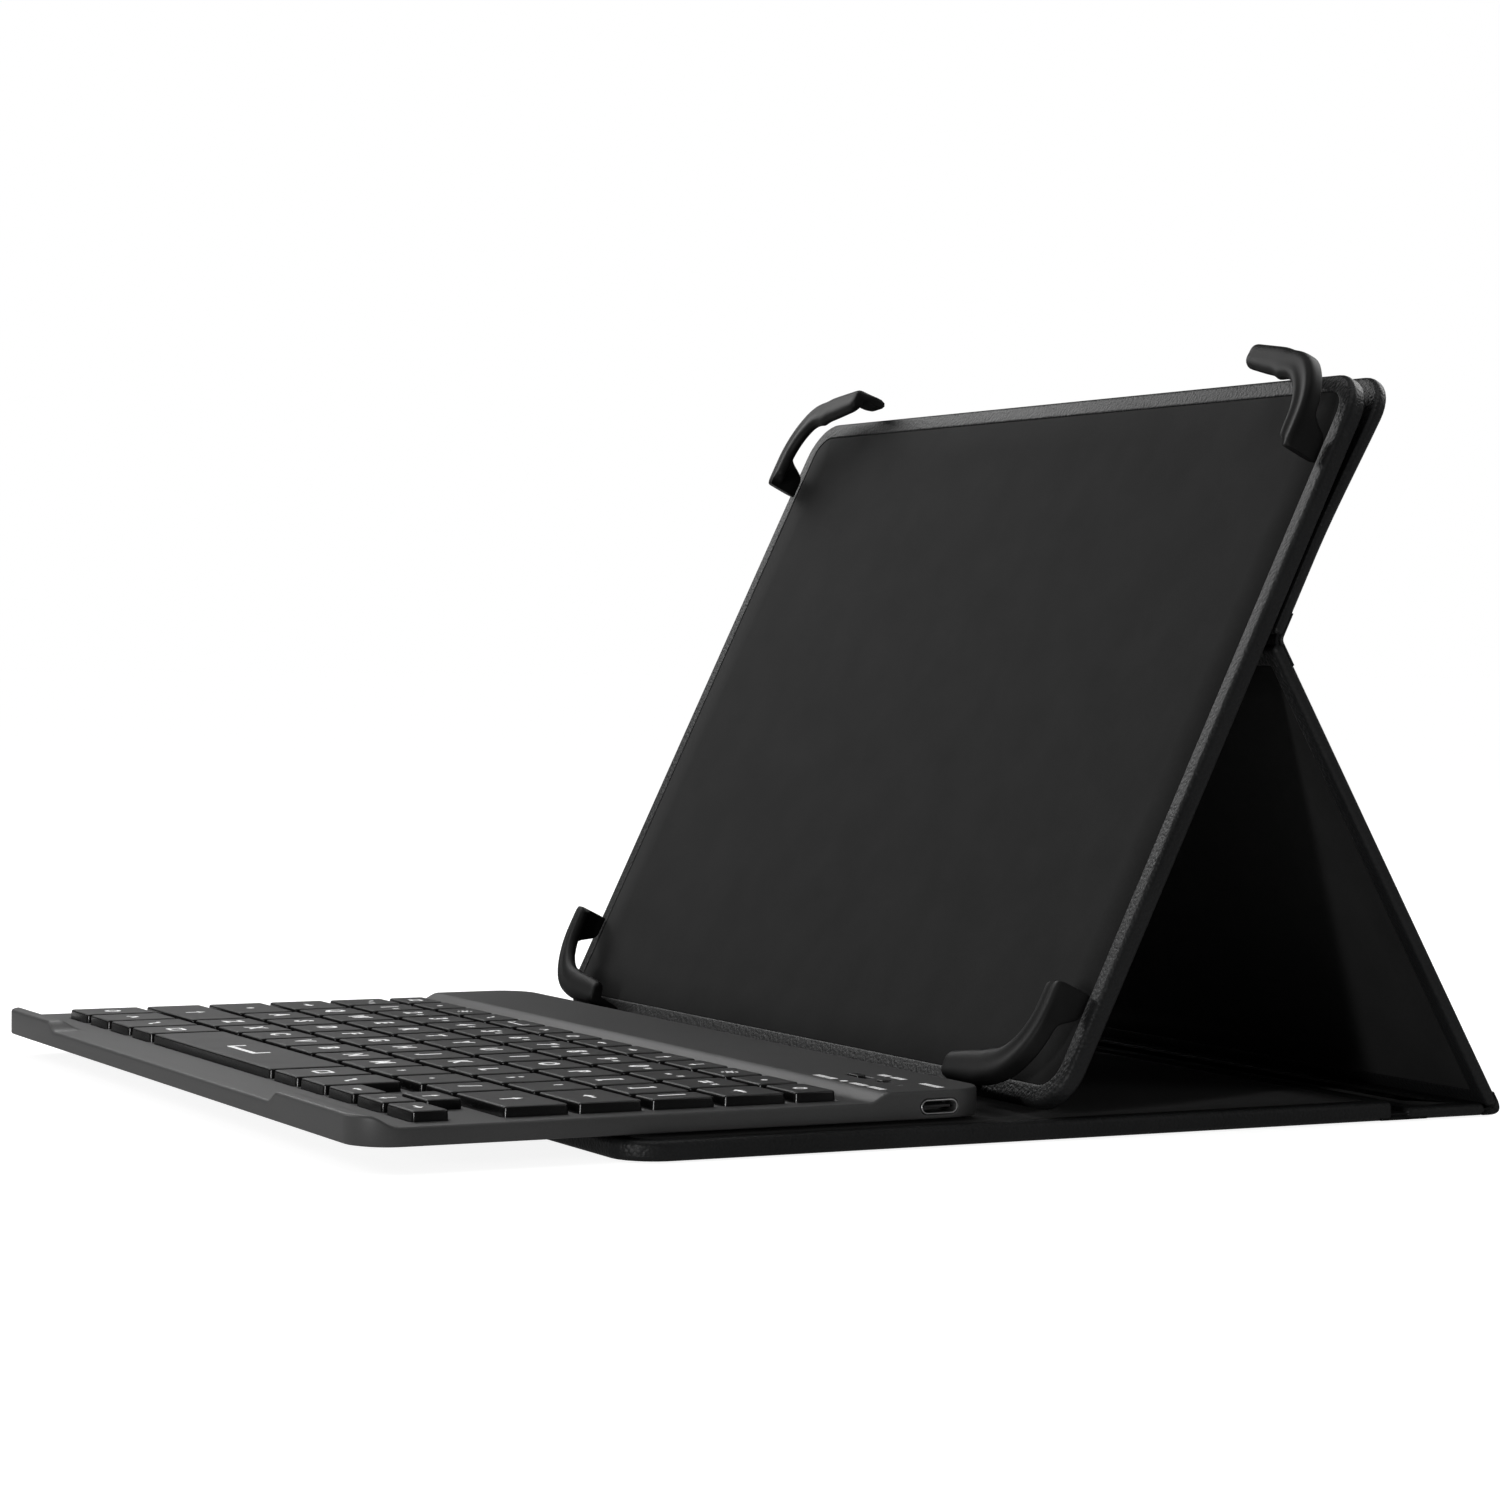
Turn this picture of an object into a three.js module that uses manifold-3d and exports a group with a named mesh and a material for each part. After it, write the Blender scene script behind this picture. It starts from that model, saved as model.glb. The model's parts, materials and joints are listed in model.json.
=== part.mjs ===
// Tablet keyboard case: a four-panel folding cover that stands as an easel, a holder panel
// with four corner grips, and a thin separate keyboard that sits on the front panel.
// Millimetres, +X right, +Y back, +Z up. The origin is on the table, under the middle.
import * as THREE from "three";
import { mergeVertices } from "three/addons/utils/BufferGeometryUtils.js";
import Module from "manifold-3d";

const wasm = await Module();
wasm.setup();

// Cover. Y is measured from the tablet's lower front edge until the last lines shift it.
const coverHalfWidth = 131;
const cornerRadius = 10.5;
const coverFrontY = -97.3;
const spineFoldY = 97;
const standFoldY = 125.5;
const frontThickness = 4.4;
const spineThickness = 2.8;
const panelThickness = 3.1;
const kickstandLength = 125.8;
const kickstandAngle = 120.1;
const tabletTilt = 64.014;
const topPanelLength = 66.6;
const skin = 0.8;
const gap = 0.3;

// Tablet holder. V runs up the panel from the upper fold, W outwards from its outer skin.
const holderHalfWidth = 131.4;
const holderBackW = panelThickness + gap;
const holderFrontW = 7.8;
const holderTopV = 63.6;
const tabletBottomV = -113.4;
const holderBottomV = tabletBottomV - 3.8;
const tabletWidth = 249.7;
const tabletHeight = 177.5;
const tabletFrontW = 14.3;

// Corner grips.
const gripOverhang = 3.7;
const gripProud = 3.4;
const gripBand = 6.4;
const gripOuterRadius = 20;
const gripInnerRadius = { upper: 14, lower: 10 };
const gripReach = { upper: [33, 28], lower: [34, 26.3] };
const gripWall = 1.5;
const gripLegWall = 2.8;
const gripLegLength = 9;

// Keyboard. U runs back from its front edge, Z up from its underside.
const keyboardLeft = -131.2;
const keyboardRight = 126;
const keyboardFrontY = -154;
const keyboardDepth = 146;
const keyboardBottomZ = 5.1;
const keyboardRadius = 10;
const wall = 1.4;
const deckZ = 4.3;
const deckThickness = 0.9;
const lipZ = 6.6;
const bridgeZ = 6.4;
const notch = { left: -91, right: 77, slope: 6, depth: 9 };
const bridge = { stepFront: 115.3, stepBack: 120.9 };
const port = { y: 132.7, z: 2.9, width: 9, height: 3.2, depth: 7 };

// Keys.
const keyPitch = 17.1;
const rowPitch = 16.8;
const keyGap = 2;
const keyTopZ = 6.5;
const keyFootZ = 2.9;
const webThickness = 0.4;
const openingGap = 0.4;
const bottomRow = { front: 14.2, depth: 18.2 };
const letterFront = 34.4;
const functionDepth = 10;
const rowUnits = 14;

const finish = (color, roughness, metalness = 0) =>
  new THREE.MeshStandardMaterial({ color, roughness, metalness });
const leather = finish(0x17171a, 0.6);
const lining = finish(0x202023, 0.85);
const board = finish(0x4a4540, 0.9);
const rubber = finish(0x26262a, 0.55);
const casePlastic = finish(0x3d3d40, 0.5);
const keyPlastic = finish(0x2c2c2f, 0.45);
const steel = finish(0x9c9ea2, 0.35, 1);
const circuit = finish(0x1f4a33, 0.5);
const membrane = finish(0xc9ccd2, 0.4);
const batteryWrap = finish(0x8d9196, 0.4);
const lightGuide = finish(0xe8ecef, 0.2);

function toSolid(geometry) {
  const bare = geometry.clone();
  bare.deleteAttribute("normal");
  bare.deleteAttribute("uv");
  const merged = mergeVertices(bare, 1e-4);
  return new wasm.Manifold(
    new wasm.Mesh({
      numProp: 3,
      vertProperties: new Float32Array(merged.attributes.position.array),
      triVerts: new Uint32Array(merged.index.array),
    }),
  );
}

function toMesh(name, solid, material) {
  const made = solid.getMesh();
  const geometry = new THREE.BufferGeometry();
  geometry.setAttribute("position", new THREE.BufferAttribute(made.vertProperties, 3));
  geometry.setIndex(new THREE.BufferAttribute(made.triVerts, 1));
  geometry.computeVertexNormals();
  const mesh = new THREE.Mesh(geometry, material);
  mesh.name = name;
  return mesh;
}

function block(x0, x1, y0, y1, z0, z1) {
  const geometry = new THREE.BoxGeometry(x1 - x0, y1 - y0, z1 - z0);
  return toSolid(geometry.translate((x0 + x1) / 2, (y0 + y1) / 2, (z0 + z1) / 2));
}

// A rectangle in plan whose four corners are rounded: front pair first, then the back pair.
function outline(x0, x1, y0, y1, frontRadius, backRadius) {
  const shape = new THREE.Shape();
  const corner = (x, y, radius, start) => {
    if (radius > 0) shape.absarc(x, y, radius, start, start + Math.PI / 2, false);
    else shape.lineTo(x, y);
  };
  shape.moveTo((x0 + x1) / 2, y0);
  corner(x1 - frontRadius, y0 + frontRadius, frontRadius, -Math.PI / 2);
  corner(x1 - backRadius, y1 - backRadius, backRadius, 0);
  corner(x0 + backRadius, y1 - backRadius, backRadius, Math.PI / 2);
  corner(x0 + frontRadius, y0 + frontRadius, frontRadius, Math.PI);
  shape.closePath();
  return shape;
}

function plate(shape, z0, z1) {
  const settings = { depth: z1 - z0, bevelEnabled: false, curveSegments: 5 };
  return toSolid(new THREE.ExtrudeGeometry(shape, settings).translate(0, 0, z0));
}

function insetPlate(half, y0, y1, frontRadius, backRadius, inset, z0, z1) {
  const front = Math.max(frontRadius - inset, 0);
  const back = Math.max(backRadius - inset, 0);
  return plate(outline(-half + inset, half - inset, y0 + inset, y1 - inset, front, back), z0, z1);
}

// A section drawn in Y and Z, run along X.
function alongX(points, x0, x1) {
  const shape = points instanceof THREE.Shape
    ? points
    : new THREE.Shape(points.map(([y, z]) => new THREE.Vector2(y, z)));
  const settings = { depth: x1 - x0, bevelEnabled: false, curveSegments: 5 };
  const turn = new THREE.Matrix4().makeBasis(
    new THREE.Vector3(0, 1, 0),
    new THREE.Vector3(0, 0, 1),
    new THREE.Vector3(1, 0, 0),
  );
  return toSolid(new THREE.ExtrudeGeometry(shape, settings).applyMatrix4(turn).translate(x0, 0, 0));
}

// A section drawn in X and Z, run along Y.
function alongY(points, y0, y1) {
  const shape = new THREE.Shape(points.map(([x, z]) => new THREE.Vector2(x, z)));
  const settings = { depth: y1 - y0, bevelEnabled: false };
  const turn = new THREE.Matrix4().makeBasis(
    new THREE.Vector3(1, 0, 0),
    new THREE.Vector3(0, 0, 1),
    new THREE.Vector3(0, -1, 0),
  );
  return toSolid(new THREE.ExtrudeGeometry(shape, settings).applyMatrix4(turn).translate(0, y1, 0));
}

// One cover panel: a leather tray that wraps the edges, whose thin sheet runs on to the folds,
// a stiff board inside it, and a lining that closes it. sheet and body are [start, end] along Y.
function panelSkin(half, sheet, body, thickness, frontRadius, backRadius) {
  const flap = insetPlate(half, sheet[0], sheet[1], frontRadius, backRadius, 0, 0, skin);
  const tray = insetPlate(half, body[0], body[1], frontRadius, backRadius, 0, 0, thickness);
  const pocket = insetPlate(
    half, body[0], body[1], frontRadius, backRadius, skin + 0.1, skin, thickness + 1,
  );
  return flap.add(tray.subtract(pocket));
}

function panelBoard(half, body, thickness, frontRadius, backRadius) {
  return insetPlate(
    half, body[0], body[1], frontRadius, backRadius, skin + gap, skin + 0.2, thickness - 0.8,
  );
}

function panelLining(half, body, thickness, frontRadius, backRadius) {
  return insetPlate(
    half, body[0], body[1], frontRadius, backRadius, skin + gap, thickness - 0.6, thickness,
  );
}

function frontCover() {
  const body = [coverFrontY, spineFoldY - spineThickness - gap];
  const sheet = [coverFrontY, spineFoldY - skin - gap];
  const strip = { x: 95, y0: -2, y1: 10 };
  const magnet = { x0: 78, x1: 98, y0: -60, y1: -50 };
  let stiffener = panelBoard(coverHalfWidth, body, frontThickness, cornerRadius, 0);
  const pocketZ = [1.9, frontThickness];
  stiffener = stiffener
    .subtract(block(-strip.x, strip.x, strip.y0, strip.y1, ...pocketZ))
    .subtract(block(magnet.x0, magnet.x1, magnet.y0, magnet.y1, ...pocketZ))
    .subtract(block(-magnet.x1, -magnet.x0, magnet.y0, magnet.y1, ...pocketZ));
  const barZ = [2.1, 3.5];
  const bar = (x0, x1, y0, y1) => block(x0 + gap, x1 - gap, y0 + gap, y1 - gap, ...barZ);
  return [
    toMesh("front_cover_skin",
      panelSkin(coverHalfWidth, sheet, body, frontThickness, cornerRadius, 0), leather),
    toMesh("front_cover_board", stiffener, board),
    toMesh("front_cover_lining",
      panelLining(coverHalfWidth, body, frontThickness, cornerRadius, 0), lining),
    toMesh("stand_magnet_strip", bar(-strip.x, strip.x, strip.y0, strip.y1), steel),
    toMesh("cover_magnet_left", bar(-magnet.x1, -magnet.x0, magnet.y0, magnet.y1), steel),
    toMesh("cover_magnet_right", bar(magnet.x0, magnet.x1, magnet.y0, magnet.y1), steel),
  ];
}

// How far from a closed-up fold a layer must stop to clear the layer it faces.
function foldSetback(height, facing, angle) {
  const radians = THREE.MathUtils.degToRad(angle);
  return (facing + gap + height * Math.cos(radians)) / Math.sin(radians);
}

const standLean = 180 - kickstandAngle;
const sheetSetback = foldSetback(skin, skin, standLean);

function spine() {
  const sheet = [spineFoldY + gap, standFoldY - sheetSetback];
  const body = [
    spineFoldY + skin + gap,
    standFoldY - foldSetback(spineThickness, panelThickness, standLean),
  ];
  return [
    toMesh("spine_skin", panelSkin(coverHalfWidth, sheet, body, spineThickness, 0, 0), leather),
    toMesh("spine_board", insetPlate(
      coverHalfWidth, body[0], body[1], 0, 0, skin + gap, skin + 0.2, spineThickness - 0.2,
    ), board),
  ];
}

function kickstand() {
  const end = kickstandLength - gap;
  const sheet = [sheetSetback, end];
  const body = [foldSetback(panelThickness, skin, standLean), end];
  return [
    toMesh("kickstand_skin",
      panelSkin(coverHalfWidth, sheet, body, panelThickness, 0, 0), leather),
    toMesh("kickstand_board", panelBoard(coverHalfWidth, body, panelThickness, 0, 0), board),
    toMesh("kickstand_lining", panelLining(coverHalfWidth, body, panelThickness, 0, 0), lining),
  ];
}

// The curved band that crosses one corner of the tablet, its side wall and its two legs.
function cornerGrip(sideX, sideV) {
  const cornerX = tabletWidth / 2 + gripOverhang;
  const cornerV = tabletHeight / 2 + gripOverhang;
  const end = sideV > 0 ? "upper" : "lower";
  const [reachX, reachV] = gripReach[end];
  const ring = (inset, innerInset, innerRadius) => {
    const outer = gripOuterRadius - inset;
    const shape = new THREE.Shape();
    shape.moveTo(cornerX - reachX, cornerV - inset);
    shape.lineTo(cornerX - gripOuterRadius, cornerV - inset);
    shape.absarc(
      cornerX - gripOuterRadius, cornerV - gripOuterRadius, outer, Math.PI / 2, 0, true,
    );
    shape.lineTo(cornerX - inset, cornerV - reachV);
    shape.lineTo(cornerX - innerInset, cornerV - reachV);
    const centre = innerInset + innerRadius;
    shape.absarc(cornerX - centre, cornerV - centre, innerRadius, 0, Math.PI / 2, false);
    shape.lineTo(cornerX - reachX, cornerV - innerInset);
    shape.closePath();
    return shape;
  };
  const bandBackW = tabletFrontW + gap;
  const bandFrontW = tabletFrontW + gripProud;
  const legBackW = holderFrontW + gap;
  const wallBackW = tabletFrontW - 1.3;
  const band = plate(ring(0, gripBand, gripInnerRadius[end]), bandBackW, bandFrontW);
  const rim = plate(ring(0, gripWall, gripOuterRadius - gripWall), wallBackW, bandBackW + 0.1);
  const legs = plate(ring(0, gripLegWall, gripOuterRadius - gripLegWall), legBackW, bandBackW + 0.1);
  const legZone = block(
    cornerX - reachX - 1, cornerX - reachX + gripLegLength,
    cornerV - reachV - 1, cornerV + 1, legBackW - 1, bandFrontW,
  ).add(block(
    cornerX - reachX - 1, cornerX + 1,
    cornerV - reachV - 1, cornerV - reachV + gripLegLength, legBackW - 1, bandFrontW,
  ));
  const grip = band.add(rim).add(legs.intersect(legZone));
  const name = "corner_grip_" + end + (sideX > 0 ? "_right" : "_left");
  const mesh = toMesh(name, grip, rubber);
  mesh.scale.set(sideX, sideV, 1);
  mesh.position.y = tabletBottomV + tabletHeight / 2;
  return mesh;
}

function holder() {
  const upper = [gap, topPanelLength];
  const panel = [holderBottomV, holderTopV];
  const thickness = holderFrontW - holderBackW;
  const magnet = { x: 95, v0: holderBottomV + 2.5, v1: holderBottomV + 8.5 };
  const shift = (solid) => solid.translate([0, 0, holderBackW]);
  const round = cornerRadius;
  const stiffener = panelBoard(holderHalfWidth, panel, thickness, round, round).subtract(
    block(-magnet.x, magnet.x, magnet.v0, magnet.v1, 1.4, thickness),
  );
  const bar = block(
    -magnet.x + gap, magnet.x - gap, magnet.v0 + gap, magnet.v1 - gap, 1.6, thickness - 0.9,
  );
  const meshes = [
    toMesh("back_cover_skin",
      panelSkin(coverHalfWidth, upper, upper, panelThickness, 0, round), leather),
    toMesh("back_cover_board", panelBoard(coverHalfWidth, upper, panelThickness, 0, round), board),
    toMesh("holder_skin",
      shift(panelSkin(holderHalfWidth, panel, panel, thickness, round, round)), leather),
    toMesh("holder_board", shift(stiffener), board),
    toMesh("holder_lining",
      shift(panelLining(holderHalfWidth, panel, thickness, round, round)), lining),
    toMesh("holder_magnet_strip", shift(bar), steel),
  ];
  for (const sideV of [1, -1])
    for (const sideX of [1, -1]) meshes.push(cornerGrip(sideX, sideV));
  return meshes;
}

// Every key as { bank, x0, x1, u0, u1 } in keyboard plan coordinates.
function keyPlan() {
  const keys = [];
  const left = (-rowUnits * keyPitch) / 2;
  const row = (u0, u1, items) => {
    let unit = 0;
    for (const [name, width, count = 1] of items) {
      for (let i = 0; i < count; i += 1) {
        const x0 = left + unit * keyPitch + keyGap / 2;
        unit += width;
        if (name) keys.push({ name, x0, x1: left + unit * keyPitch - keyGap / 2, u0, u1 });
      }
    }
  };
  const letterRow = (index, items) => {
    const u0 = letterFront + index * rowPitch;
    row(u0, u0 + rowPitch - keyGap, items);
  };
  const { front, depth } = bottomRow;
  const half = (depth - keyGap) / 2 + 0.2;
  row(front, front + depth, [
    ["function_modifier_key", 1], ["control_key", 1], ["option_key", 1], ["command_key", 1],
    ["space_bar", 5], ["right_command_key", 1], ["right_option_key", 1],
  ]);
  row(front, front + half, [
    [null, 11], ["arrow_left_key", 1], ["arrow_down_key", 1], ["arrow_right_key", 1],
  ]);
  row(front + depth - half, front + depth, [[null, 12], ["arrow_up_key", 1]]);
  letterRow(0, [["left_shift_key", 2.3], ["lower_letter_keys", 1, 10], ["right_shift_key", 1.7]]);
  letterRow(1, [["caps_key", 1.6], ["home_letter_keys", 1, 11], ["enter_key", 1.4]]);
  letterRow(2, [["tab_key", 1.3], ["upper_letter_keys", 1, 12], ["upper_letter_keys", 0.7]]);
  letterRow(3, [["number_keys", 1, 13], ["backspace_key", 1]]);
  const functionFront = letterFront + 4 * rowPitch;
  row(functionFront, functionFront + functionDepth, [["function_keys", 1, 14]]);
  return keys;
}

// Keys that share a name are caps on one thin web below the deck.
function keyMeshes(plan) {
  const banks = new Map();
  for (const key of plan) banks.set(key.name, [...(banks.get(key.name) || []), key]);
  return [...banks].map(([name, keys]) => {
    let solid = block(
      keys[0].x0 + 0.5, keys.at(-1).x1 - 0.5, keys[0].u0 + 0.5, keys[0].u1 - 0.5,
      keyFootZ, keyFootZ + webThickness,
    );
    for (const key of keys)
      solid = solid.add(block(key.x0, key.x1, key.u0, key.u1, keyFootZ, keyTopZ));
    return toMesh(name, solid, keyPlastic);
  });
}

function slot(width, height, inset) {
  const radius = height / 2 - inset;
  const reach = width / 2 - height / 2;
  const shape = new THREE.Shape();
  shape.absarc(reach, 0, radius, -Math.PI / 2, Math.PI / 2, false);
  shape.absarc(-reach, 0, radius, Math.PI / 2, (3 * Math.PI) / 2, false);
  shape.closePath();
  return shape;
}

const switchWell = { x0: 91, x1: 100, u0: 128, u1: 131, travel: 3 };
const connectWell = { x0: 105, x1: 108.5, u0: 128, u1: 131 };
const ledWell = { x0: 113, x1: 114.6, u0: 128.7, u1: 130.3 };

// A rounded slab with the keyboard's outline, inset by the given amount.
function keyboardLayer(inset, z0, z1) {
  const half = (keyboardRight - keyboardLeft) / 2;
  const round = keyboardRadius;
  return insetPlate(half, 0, keyboardDepth, round, round, inset, z0, z1)
    .translate([keyboardLeft + half, 0, 0]);
}

function topCase(plan) {
  const section = [
    [0, gap], [0, lipZ - 0.7], [0.7, lipZ], [3.2, lipZ], [8.5, deckZ],
    [bridge.stepFront, deckZ], [bridge.stepBack, bridgeZ],
    [keyboardDepth - 1.5, bridgeZ], [keyboardDepth, bridgeZ - 1.2], [keyboardDepth, gap],
  ];
  const plan0 = keyboardLayer(0, 0, lipZ + 1);
  const cavity = keyboardLayer(wall, -1, deckZ - deckThickness);
  const thumb = alongY([
    [notch.left, lipZ + 1], [notch.left, lipZ + 0.01], [notch.left + notch.slope, deckZ],
    [notch.right - notch.slope, deckZ], [notch.right, lipZ + 0.01], [notch.right, lipZ + 1],
  ], -1, notch.depth);
  let solid = alongX(section, keyboardLeft, keyboardRight)
    .intersect(plan0).subtract(cavity).subtract(thumb);
  for (const { x0, x1, u0, u1 } of plan)
    solid = solid.subtract(
      block(x0 - openingGap, x1 + openingGap, u0 - openingGap, u1 + openingGap, 0, lipZ),
    );
  for (const { x0, x1, u0, u1 } of [switchWell, connectWell, ledWell])
    solid = solid.subtract(block(x0, x1, u0, u1, 0, lipZ + 1));
  const portEnd = keyboardRight - port.depth;
  const mouth = alongX(slot(port.width, port.height, -gap), portEnd, keyboardRight + 1);
  return solid.subtract(mouth.translate([0, port.y, port.z]));
}

function keyboard() {
  const plan = keyPlan();
  const portEnd = keyboardRight - port.depth;
  const underKeys = (z0, z1) => block(
    keyboardLeft + 3, keyboardRight - 3, bottomRow.front - 2, bridge.stepFront - 2.5, z0, z1,
  );
  const shell = alongX(slot(port.width, port.height, 0), portEnd + 0.2, keyboardRight - 0.1)
    .subtract(alongX(slot(port.width, port.height, gap), portEnd + 1, keyboardRight + 1));
  const tongue = block(
    portEnd + 1.2, keyboardRight - 1.2, port.y - 3.3, port.y + 3.3, port.z - 0.35, port.z + 0.35,
  );
  const meshes = [
    toMesh("keyboard_top_case", topCase(plan), casePlastic),
    toMesh("keyboard_bottom_case", keyboardLayer(wall + gap, 0.1, 0.8), casePlastic),
    toMesh("key_support_plate", underKeys(0.9, 1.15), steel),
    toMesh("key_membrane", underKeys(1.25, 1.5), membrane),
    toMesh("keyboard_circuit_board", block(-20, 112, 116, 128, 1, 2), circuit),
    toMesh("keyboard_battery", block(-112, -28, 116, 141, 1, 3), batteryWrap),
    toMesh("charging_port_shell", shell.translate([0, port.y, port.z]), steel),
    toMesh("charging_port_tongue", tongue, casePlastic),
    toMesh("keyboard_magnet_left", block(-112, -92, 4, 9, 1, 3), steel),
    toMesh("keyboard_magnet_right", block(92, 112, 4, 9, 1, 3), steel),
    toMesh("power_switch", block(
      switchWell.x0 + gap, switchWell.x1 - gap - switchWell.travel,
      switchWell.u0 + gap, switchWell.u1 - gap, 3.4, bridgeZ + 0.4,
    ), keyPlastic),
    toMesh("connect_button", block(
      connectWell.x0 + gap, connectWell.x1 - gap, connectWell.u0 + gap, connectWell.u1 - gap,
      3.2, bridgeZ + 0.5,
    ), keyPlastic),
    toMesh("status_light", block(
      ledWell.x0 + gap, ledWell.x1 - gap, ledWell.u0 + gap, ledWell.u1 - gap, 2.4, bridgeZ - 0.05,
    ), lightGuide),
    ...keyMeshes(plan),
  ];
  for (const [end, u] of [["front", 7], ["rear", 138]])
    for (const [side, x] of [["left", -74], ["right", 74]]) {
      const foot = new THREE.CylinderGeometry(3.5, 3.8, 0.6, 16).rotateX(-Math.PI / 2);
      meshes.push(
        toMesh("foot_" + end + "_" + side, toSolid(foot).translate([x, u, -0.3]), rubber),
      );
    }
  return meshes;
}

function placed(meshes, y, z, tilt = 0) {
  const group = new THREE.Group();
  group.add(...meshes);
  group.position.set(0, y, z);
  group.rotation.x = THREE.MathUtils.degToRad(tilt);
  return group;
}

const stand = THREE.MathUtils.degToRad(kickstandAngle);
const upperFoldY = standFoldY + kickstandLength * Math.cos(stand);
const upperFoldZ = kickstandLength * Math.sin(stand);
const rearY = standFoldY + sheetSetback * Math.cos(stand);

const part = new THREE.Group();
part.add(
  placed(frontCover(), 0, 0),
  placed(spine(), 0, 0),
  placed(kickstand(), standFoldY, 0, kickstandAngle),
  placed(holder(), upperFoldY, upperFoldZ, tabletTilt),
  placed(keyboard(), keyboardFrontY, keyboardBottomZ),
);
part.position.y = -(keyboardFrontY + rearY) / 2;

export default part;
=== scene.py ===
# Looks of the tablet keyboard case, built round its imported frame.
# Metres, +X right, +Y back, +Z up.
import json
import math

import bmesh
import bpy
from mathutils import Matrix, Vector


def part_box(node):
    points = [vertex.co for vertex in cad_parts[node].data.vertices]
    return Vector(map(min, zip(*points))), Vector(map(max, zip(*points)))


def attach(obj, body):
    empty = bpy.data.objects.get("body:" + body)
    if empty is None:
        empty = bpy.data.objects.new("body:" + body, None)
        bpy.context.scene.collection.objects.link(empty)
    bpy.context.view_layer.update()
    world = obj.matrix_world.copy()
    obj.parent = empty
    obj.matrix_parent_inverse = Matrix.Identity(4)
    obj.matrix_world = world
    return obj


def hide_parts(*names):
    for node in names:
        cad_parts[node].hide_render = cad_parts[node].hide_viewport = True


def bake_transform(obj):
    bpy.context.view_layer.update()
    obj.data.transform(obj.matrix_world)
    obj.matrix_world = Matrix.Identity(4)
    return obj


mm = 0.001
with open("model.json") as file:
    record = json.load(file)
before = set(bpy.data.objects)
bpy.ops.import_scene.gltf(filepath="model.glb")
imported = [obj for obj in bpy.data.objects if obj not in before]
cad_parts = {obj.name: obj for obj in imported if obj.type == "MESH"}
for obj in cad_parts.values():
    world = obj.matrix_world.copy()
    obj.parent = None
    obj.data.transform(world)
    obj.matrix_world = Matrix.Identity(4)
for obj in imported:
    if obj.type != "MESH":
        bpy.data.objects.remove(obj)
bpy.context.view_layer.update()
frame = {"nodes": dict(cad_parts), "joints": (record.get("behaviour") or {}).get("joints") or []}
joints = {j["name"]: j for j in frame["joints"]}
print("frame loaded,", len(frame["nodes"]), "nodes")


# The camera, the lamps and how bright the floor and the surroundings are.
view = {
    "azimuth": 63.333, "elevation": 1.526, "roll": 0.495,
    "place": (0.85195, -0.41753, 0.10638), "lens": 93.43,
}
studio = {
    "glow": 0.07, "floorSize": 24.0, "floorTone": 0.5, "near": 0.35, "far": 2.2,
    "floorSeen": (0.88, 1.0), "floorGlow": 0.15,
    "lamps": [
        {"name": "keyLight", "at": (-1.15, -1.25, 1.05), "size": (0.9, 0.9), "watts": 9.5},
        {"name": "deckLight", "at": (-0.5, -0.05, 0.42), "size": (0.3, 0.3), "watts": 1.1},
        {"name": "topLight", "at": (0.0, -0.1, 1.9), "size": (1.2, 1.2), "watts": 7},
        {"name": "frontStrip", "at": (0.78, -1.5, 0.2), "size": (0.09, 0.4), "watts": 10},
        {"name": "rimLight", "at": (1.3, 1.1, 0.9), "size": (0.4, 1.2), "watts": 2.4},
        {"name": "backLight", "at": (-0.5, 1.7, 1.3), "size": (1.4, 0.9), "watts": 20},
    ],
}


def addCamera():
    data = bpy.data.cameras.new("tableCamera")
    data.lens, data.sensor_width = view["lens"], 36
    data.clip_start, data.clip_end = 0.02, 60
    camera = bpy.data.objects.new("tableCamera", data)
    bpy.context.scene.collection.objects.link(camera)
    tilt = Matrix.Rotation(math.radians(90 - view["elevation"]), 4, "X")
    turn = Matrix.Rotation(math.radians(view["azimuth"]), 4, "Z")
    roll = Matrix.Rotation(math.radians(view["roll"]), 4, "Z")
    camera.matrix_world = Matrix.Translation(view["place"]) @ turn @ tilt @ roll
    bpy.context.scene.camera = camera


def addLamp(spec):
    data = bpy.data.lights.new(spec["name"], "AREA")
    data.shape = "RECTANGLE"
    data.size, data.size_y = spec["size"]
    data.energy = spec["watts"]
    lamp = bpy.data.objects.new(spec["name"], data)
    bpy.context.scene.collection.objects.link(lamp)
    aim = Vector((0, 0, 0.06)) - Vector(spec["at"])
    lamp.rotation_euler = aim.to_track_quat("-Z", "Y").to_euler()
    lamp.location = spec["at"]
    lamp.visible_camera = False


# A socket that adds, subtracts and multiplies like a number.
class Value:
    def __init__(self, sheet, socket):
        self.sheet, self.socket = sheet, socket

    def combine(self, operation, a, b):
        return self.sheet.node("ShaderNodeMath", {"operation": operation}, {0: a, 1: b})

    def __add__(self, other):
        return self.combine("ADD", self, other)

    def __radd__(self, other):
        return self.combine("ADD", other, self)

    def __sub__(self, other):
        return self.combine("SUBTRACT", self, other)

    def __rsub__(self, other):
        return self.combine("SUBTRACT", other, self)

    def __mul__(self, other):
        return self.combine("MULTIPLY", self, other)

    def __rmul__(self, other):
        return self.combine("MULTIPLY", other, self)


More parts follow.
